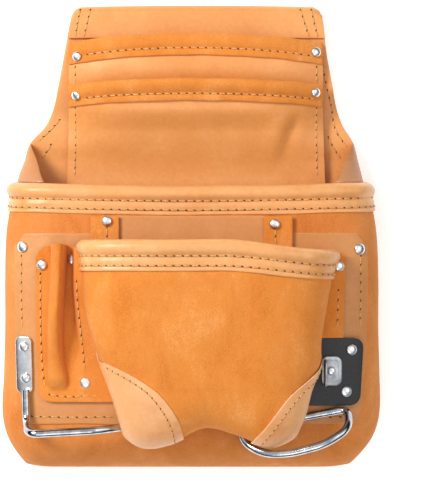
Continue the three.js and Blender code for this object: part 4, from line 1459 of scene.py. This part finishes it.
@dataclass(frozen=True)
class ToolLoop:
    """The suede tube for a long tool, in one piece with the flange beside the front pouch."""

    shape: BagShape = SHAPE
    left: float = -104.0
    top: float = 148.0
    bottom: float = 45.0
    middle: float = -87.9
    bow: float = 2.8
    radius: float = 5.4
    foot_corner: float = 8.0
    top_corner: float = 8.0
    height: float = 21.0
    wall: float = 14.0
    wall_foot: float = 1.2
    wall_width: float = 3.4
    seam_ends: Point = (-76.6, -71.5)
    pitch: float = 6.0
    fold_row: Sequence[float] = (126, 108, 90, 66)
    flat_rows: Sequence[Sequence[Point]] = (
        ((-100.8, 131), (-100.6, 95), (-99.5, 68), (-97.8, 55)),
        ((-95, 50), (-84, 48.5), (-72, 49), (-62, 49.5)))

    def corner_cut(self, height: float) -> float:
        """How far the round corners cut in from the left edge at a height."""
        cut = 0.0
        for corner, reach in ((self.foot_corner, height - self.bottom),
                              (self.top_corner, self.top - height)):
            if reach < corner:
                cut += corner - math.sqrt(corner ** 2 - (corner - reach) ** 2)
        return cut

    def seam_at(self, height: float) -> float:
        """Where the flange's sewn fold stands at a height."""
        return lerp(*self.seam_ends, smooth(height, 130, 55))

    def wall_at(self, x: float, height: float) -> float:
        """How far the flange stands up towards the front pouch at a place."""
        seam = self.seam_at(height)
        rise = lerp(self.wall_foot, self.wall, smooth(height, 62, 125)) * smooth(height, 45, 56)
        return rise * smooth(x, seam - self.wall_width, seam)

    def place(self, part: LoopPart, share: float, v: float) -> Vector:
        """A point of the loop's outer face.

        Args:
            part: The part that it is on.
            share: The share of that part's width.
            v: The share of the way down.

        Returns:
            The point.
        """
        s = self.shape
        height = lerp(self.top, self.bottom, v)
        sink = lerp(1, 0.4, smooth(v, 0.4, 0.85)) * (1 - smooth(v, 0.84, 0.97))
        half = self.radius * (1 + 0.4 * smooth(v, 0.6, 0.97))
        middle = self.middle - self.bow * ridge(v - 0.6, 0.34)
        left = self.left + 2 * smooth(v, 0.5, 0.9) + self.corner_cut(height)
        near = max(middle - half, left + 1)
        bump = s.suede
        if part is LoopPart.TUBE:
            across, up = superellipse(share * math.pi, 2.3)
            x = lerp(near, middle + half, (1 - across) / 2)
            swell = self.height * sink + 0.5 * waver(v * 90, share * 25, 9, 21)
            bump = max(s.suede, swell * up)
        elif part is LoopPart.LEFT_FLANGE:
            x = lerp(left, near, share)
        else:
            foot, _ = s.front_foot(-1, height)
            x = lerp(middle + half, foot - s.lay, share)
            bump += self.wall_at(x, height)
        y = s.above(height + 3 * ridge(x - self.middle, 9) * (1 - v))
        return Vector((x, y, s.main_skin(x, y, s.sewn_on) + bump))

    def build(self) -> None:
        """Makes the loop and its stitches."""
        s = self.shape
        columns = [(LoopPart.LEFT_FLANGE, k) for k in steps(0, 1, 14)[:-1]]
        columns += [(LoopPart.TUBE, k) for k in steps(0, 1, 44)]
        columns += [(LoopPart.RIGHT_FLANGE, k) for k in steps(0, 1, 34)[1:]]
        sheet("tool_loop_suede", range(len(columns)), steps(0, 1, 90),
              lambda u, v: self.place(*columns[int(u)], v), s.suede, SUEDE_HIDE,
              ("tool_loop", "flange_left"), even=False)
        face = s.skin_at(s.sewn_on + s.suede)

        def fold(x: float, y: float) -> float:
            return face(x, y) + self.wall_at(x, y + s.length / 2)

        rows = Stitching("tool_loop")
        for track in self.flat_rows:
            rows.row(s.seam(face, track), self.pitch)
        rows.row(s.seam(fold, [(self.seam_at(h) + 0.8, h) for h in self.fold_row]), self.pitch)
        rows.finish(Slot.SUEDE)


def smooth_track(corners: Sequence[Vector], bend: float) -> list[Vector]:
    """Rounds the corners of a track.

    Args:
        corners: The track's corners.
        bend: How far before and after a corner the bend starts.

    Returns:
        The points of the rounded track.
    """
    track = [corners[0]]
    for before, corner, after in zip(corners, corners[1:], corners[2:]):
        cut = min(bend, (before - corner).length / 2.1, (after - corner).length / 2.1)
        start = corner + (before - corner).normalized() * cut
        end = corner + (after - corner).normalized() * cut
        for t in steps(0, 1, 8):
            track.append(start.lerp(corner, t).lerp(corner.lerp(end, t), t))
    return [*track, corners[-1]]


@dataclass(frozen=True)
class Fittings:
    """The steel loops, the tape clip with its black tab, and all rivets."""

    shape: BagShape = SHAPE
    bar: float = 2.7
    bar_gap: float = 0.4
    bend: float = 8.0
    ear_width: float = 11.5
    ear_thickness: float = 2.0
    corner_ratio: float = 3.2
    tab_thickness: float = 2.4
    tab_heights: Point = (88.0, 42.5)
    tab_sides: Point = (79.0, 116.0)
    tab_corner: float = 7.0
    tab_slant: float = 2.5
    clip_at: Point = (94.0, 66.0)
    clip_plate: Triple = (14.0, 20.0, 1.6)
    clip_boss: Triple = (9.5, 15.0, 0.7)
    clip_lip: Triple = (9.0, 18.0, 1.4)
    boss_lift: float = 1.4
    lip_place: Triple = (-5.6, -1.0, 5.0)
    clip_height: float = 2.1
    rivet_height: float = 2.0
    rivet_rim: float = 0.3

    def build(self) -> None:
        """Makes all fittings."""
        low = self.shape.lay + self.bar + self.bar_gap
        self.holder("hammer_holder_left", ((-111.5, 70, 38), (-36, 38, 14)), (
            (-111, 53, low), (-110.5, 31, low + 1), (-108, 24.5, 24), (-62, 27, 18),
            (-39, 29, low + 1), (-36, 40, low)))
        self.holder("hammer_holder_right", ((62, 38, 14), (33, 38, 14)), (
            (62, 32.5, low), (84, 36.5, low), (105.5, 40.5, low + 3), (105, 28, 22), (89, 18, 26),
            (66, 11.5, 24), (48, 11, 20), (34, 19, low + 5), (33, 40, low)))
        self.tab()
        self.clip()
        self.rivets()

    def plate(self, mesh: bmesh.types.BMesh, width: float, length: float, thickness: float,
              at: Matrix, rim: float = 0.5) -> None:
        """Adds a flat plate with rounded corners and softened rims.

        Args:
            mesh: The mesh that it joins.
            width: Its size across.
            length: Its size along.
            thickness: Its thickness, upwards from its underside.
            at: Its place.
            rim: How far its rims are softened.
        """
        made = bmesh.ops.create_cube(mesh, size=1)["verts"]
        size = Matrix.Diagonal((width, length, thickness, 1))
        middle = Matrix.Translation((0, 0, thickness / 2))
        bmesh.ops.transform(mesh, matrix=middle @ size, verts=made)
        edges = list({edge for point in made for edge in point.link_edges})
        upright = [e for e in edges if abs((e.verts[0].co - e.verts[1].co).normalized().z) > 0.9]
        cut = bmesh.ops.bevel(mesh, geom=upright, offset=width / self.corner_ratio, segments=6,
                              profile=0.5, affect="EDGES", material=-1)
        faces = {face for point in cut["verts"] for face in point.link_faces}
        points = list({point for face in faces for point in face.verts})
        edges = list({edge for point in points for edge in point.link_edges})
        rims = [e for e in edges if e.calc_face_angle(0) > 1.2]
        cut = bmesh.ops.bevel(mesh, geom=rims, offset=rim, segments=3, profile=0.5,
                              affect="EDGES", material=-1)
        island = {point for face in cut["faces"] for point in face.verts} | set(points)
        alive = {point for point in island if point.is_valid}
        bmesh.ops.transform(mesh, matrix=at, verts=list(alive))

    def holder(self, node: str, ears: Sequence[Triple],
               corners: Sequence[Triple]) -> None:
        """One steel loop: a bent bar with a flat ear at each end.

        Args:
            node: Its node.
            ears: Each ear's place across, height over the hem and length.
            corners: The bar's corners: places across, heights over the hem and lifts off the panel.
        """
        s = self.shape
        panel = s.skin_at(s.panel_face)
        track = smooth_track([Vector((x, s.above(h), panel(x, s.above(h)) + lift))
                              for x, h, lift in corners], self.bend)
        curve = bpy.data.curves.new(f"{node}_track", "CURVE")
        curve.dimensions = "3D"
        spline = curve.splines.new("POLY")
        spline.points.add(len(track) - 1)
        for knot, spot in zip(spline.points, track):
            knot.co = (*spot, 1)
        curve.bevel_depth = self.bar
        curve.bevel_resolution = 8
        curve.use_fill_caps = True
        holder = bpy.data.objects.new(f"{node}_track", curve)
        mesh = bmesh.new()
        mesh.from_mesh(bpy.data.meshes.new_from_object(holder))
        bpy.data.objects.remove(holder)
        bar_faces = len(mesh.faces)
        for x, height, length in ears:
            plate = bmesh.new()
            self.plate(plate, self.ear_width, length, self.ear_thickness, Matrix.Identity(4))
            plate.transform(frame_on(panel, x, s.above(height), s.lay))
            merge(mesh, plate)
        bmesh.ops.recalc_face_normals(mesh, faces=mesh.faces)
        for face in list(mesh.faces)[bar_faces:]:
            face.material_index = 1
        make_object(f"{node}_steel", mesh, (BAR, EAR), Slot.STEEL, (node,))

    def tab(self) -> None:
        """The black leather tab behind the tape clip."""
        s = self.shape
        face = s.skin_at(s.sewn_on + self.tab_thickness)
        left, right = self.tab_sides

        def place(u: float, v: float) -> Vector:
            y = s.above(lerp(*self.tab_heights, v))
            corner = max(0, (abs(2 * v - 1) - 0.7) / 0.3)
            cut = self.tab_corner * (1 - math.sqrt(max(0, 1 - corner ** 2)))
            x = lerp(left, right - cut - self.tab_slant * v, u)
            return Vector((x, y, face(x, y)))

        sheet("tape_tab_leather", steps(0, 1, 40), steps(0, 1, 50), place, self.tab_thickness,
              BLACK_PIECE, ("tape_tab",))

    def clip(self) -> None:
        """The stamped steel tape clip: a plate with a bevelled rim and an upright lip."""
        s = self.shape
        x, height = self.clip_at
        tab = s.skin_at(s.sewn_on + self.tab_thickness)
        mesh, boss, lip = bmesh.new(), bmesh.new(), bmesh.new()
        self.plate(mesh, *self.clip_plate, Matrix.Identity(4), rim=0.7)
        self.plate(boss, *self.clip_boss, Matrix.Translation((0, 0, self.boss_lift)), rim=0.3)
        self.plate(lip, *self.clip_lip, Matrix.Identity(4), rim=0.4)
        upright = Matrix.Rotation(math.pi / 2, 4, "Y")
        lip.transform(Matrix.Translation(self.lip_place) @ upright)
        for part in (boss, lip):
            merge(mesh, part)
        mesh.transform(frame_on(tab, x, s.above(height), s.lay))
        make_object("tape_clip_steel", mesh, (STAMPED,), Slot.STEEL, ("tape_clip",))

    def rivet(self, node: str, height: Height, x: float, y: float, radius: float) -> None:
        """One domed rivet cap, spun round its axis."""
        mesh = bmesh.new()
        profile = [(0, self.rivet_height)]
        for degrees in steps(90, 0, 8)[1:]:
            angle = math.radians(degrees)
            rise = 0.25 + 0.75 * math.sin(angle)
            profile.append((radius * math.cos(angle), self.rivet_height * rise))
        profile += [(radius, 0.1), (radius - self.rivet_rim, 0), (0, 0)]
        points = [mesh.verts.new((r, 0, z)) for r, z in profile]
        edges = [mesh.edges.new(pair) for pair in zip(points, points[1:])]
        bmesh.ops.spin(mesh, geom=points + edges, cent=(0, 0, 0), axis=(0, 0, 1), angle=2 * math.pi,
                       steps=32, use_merge=True)
        bmesh.ops.remove_doubles(mesh, verts=mesh.verts, dist=TOUCHING)
        bmesh.ops.recalc_face_normals(mesh, faces=mesh.faces)
        mesh.transform(frame_on(height, x, y, self.shape.seat))
        make_object(f"{node}_cap", mesh, (NICKEL,), Slot.NICKEL, (node,))

    def rivets(self) -> None:
        """Every rivet on the face that it holds."""
        s = self.shape
        strip = s.leather + s.seat + s.strip_thickness
        upper, lower = lifted(s.upper_rear, strip), lifted(s.lower_rear, strip)
        suede = s.skin_at(s.sewn_on + s.suede)
        panel = s.skin_at(s.panel_face)
        ear = s.skin_at(s.panel_face + s.lay + self.ear_thickness)
        tab = s.skin_at(s.sewn_on + self.tab_thickness)
        clip = s.skin_at(s.sewn_on + self.tab_thickness + s.lay + self.clip_height)
        for name, face, x, height, radius in (
                ("upper_strip_left", upper, -78, 279, 3.3),
                ("upper_strip_right", upper, 85, 282, 3.3),
                ("lower_strip_left", lower, -78.5, 252, 3.3),
                ("lower_strip_right", lower, 84.5, 254, 3.3),
                ("strap_left", suede, -56, 166, 3.5),
                ("strap_right", suede, 56, 164, 3.5),
                ("panel_left", panel, -113, 149, 3.7),
                ("panel_right", panel, 113, 147.5, 3.7),
                ("loop", suede, -99.6, 137, 3.5),
                ("flange_left_top", suede, -79.3, 140.5, 3.5),
                ("flange_left_foot", suede, -70.5, 58, 3.7),
                ("flange_right", suede, 99, 136, 3.5),
                ("ear_top", ear, -112, 82, 3.4),
                ("ear_foot", ear, -111, 61, 3.4),
                ("tab_top", tab, 107.5, 80, 3.6),
                ("tab_foot", tab, 104, 52, 3.6),
                ("clip", clip, *self.clip_at, 3.0)):
            self.rivet(f"rivet_{name}", face, x, s.above(height), radius)


@dataclass(frozen=True)
class Studio:
    """A pale board, soft lights and the camera at the photograph's angle."""

    image_width: int = 436
    image_height: int = 500
    mm_per_pixel: float = 0.6825
    distance_mm: float = 1800.0
    bag_middle_px: Point = (191.5, 234.4)
    level_mm: float = 20.0
    sensor_mm: float = 36.0
    far_m: float = 10.0
    board_half_m: float = 3.0
    board_drop_m: float = 0.0006
    air_strength: float = 0.8

    def build(self) -> None:
        """Makes the stage."""
        self.floor()
        self.lights()
        self.camera()

    def floor(self) -> None:
        """The board that the bag lies on."""
        mesh = bmesh.new()
        bmesh.ops.create_grid(mesh, x_segments=2, y_segments=2, size=self.board_half_m)
        bmesh.ops.translate(mesh, vec=(0, 0, -self.board_drop_m), verts=mesh.verts)
        data = bpy.data.meshes.new("studio_floor")
        mesh.to_mesh(data)
        mesh.free()
        data.materials.append(finish(STUDIO_BOARD))
        board = bpy.data.objects.new("studio_floor", data)
        bpy.context.scene.collection.objects.link(board)

    def lights(self) -> None:
        """A large soft key from the upper left, a broad fill and a bright world."""
        for name, place, size, power in (
                ("key", (-0.98, 0.62, 1.12), 0.5, 21.0), ("fill", (0.9, 0.1, 1.3), 0.9, 3.0),
                ("low", (-0.1, -0.9, 1.2), 0.8, 3.0)):
            lamp = bpy.data.lights.new(name, "AREA")
            lamp.shape = "SQUARE"
            lamp.size = size
            lamp.energy = power
            light = bpy.data.objects.new(name, lamp)
            light.location = place
            light.rotation_euler = (-Vector(place)).to_track_quat("-Z", "Y").to_euler()
            bpy.context.scene.collection.objects.link(light)
        world = bpy.data.worlds.new("studio_air")
        world.use_nodes = True
        tree = world.node_tree
        tree.nodes.clear()
        air = add_node(tree, "ShaderNodeTexCoord")
        split = add_node(tree, "ShaderNodeSeparateXYZ", links={"Vector": air.outputs["Generated"]})
        # Dark low down and white overhead, which gives the steel its dark and bright streaks.
        tone = tones(tree, split.outputs["Z"],
                     ((0.0, "#B9BCC0"), (0.13, "#303337"), (0.46, "#3C3F44"), (0.62, "#DADDE1"),
                      (0.9, "#FFFFFF")))
        glow = add_node(tree, "ShaderNodeBackground", {"Strength": self.air_strength},
                        {"Color": tone})
        add_node(tree, "ShaderNodeOutputWorld", links={"Surface": glow.outputs[0]})
        bpy.context.scene.world = world
        bpy.context.scene.view_settings.view_transform = "Standard"

    def camera(self) -> None:
        """The camera straight over the bag, at the photograph's scale."""
        lens = bpy.data.cameras.new("camera")
        lens.sensor_fit = "HORIZONTAL"
        lens.sensor_width = self.sensor_mm
        reach = self.distance_mm - self.level_mm
        lens.lens = self.sensor_mm * reach / (self.image_width * self.mm_per_pixel)
        lens.clip_end = self.far_m
        camera = bpy.data.objects.new("camera", lens)
        x = (self.image_width / 2 - self.bag_middle_px[0]) * self.mm_per_pixel
        y = (self.bag_middle_px[1] - self.image_height / 2) * self.mm_per_pixel
        camera.location = (x * MM, y * MM, self.distance_mm * MM)
        bpy.context.scene.collection.objects.link(camera)
        bpy.context.scene.camera = camera


def main() -> None:
    """Builds the bag and its stage."""
    logging.basicConfig(level=logging.INFO)
    Studio().build()
    for part in (BackAndPockets(), MainPouch(), FrontPouch(), ToolLoop(), Fittings()):
        part.build()


if __name__ == "__main__":
    main()
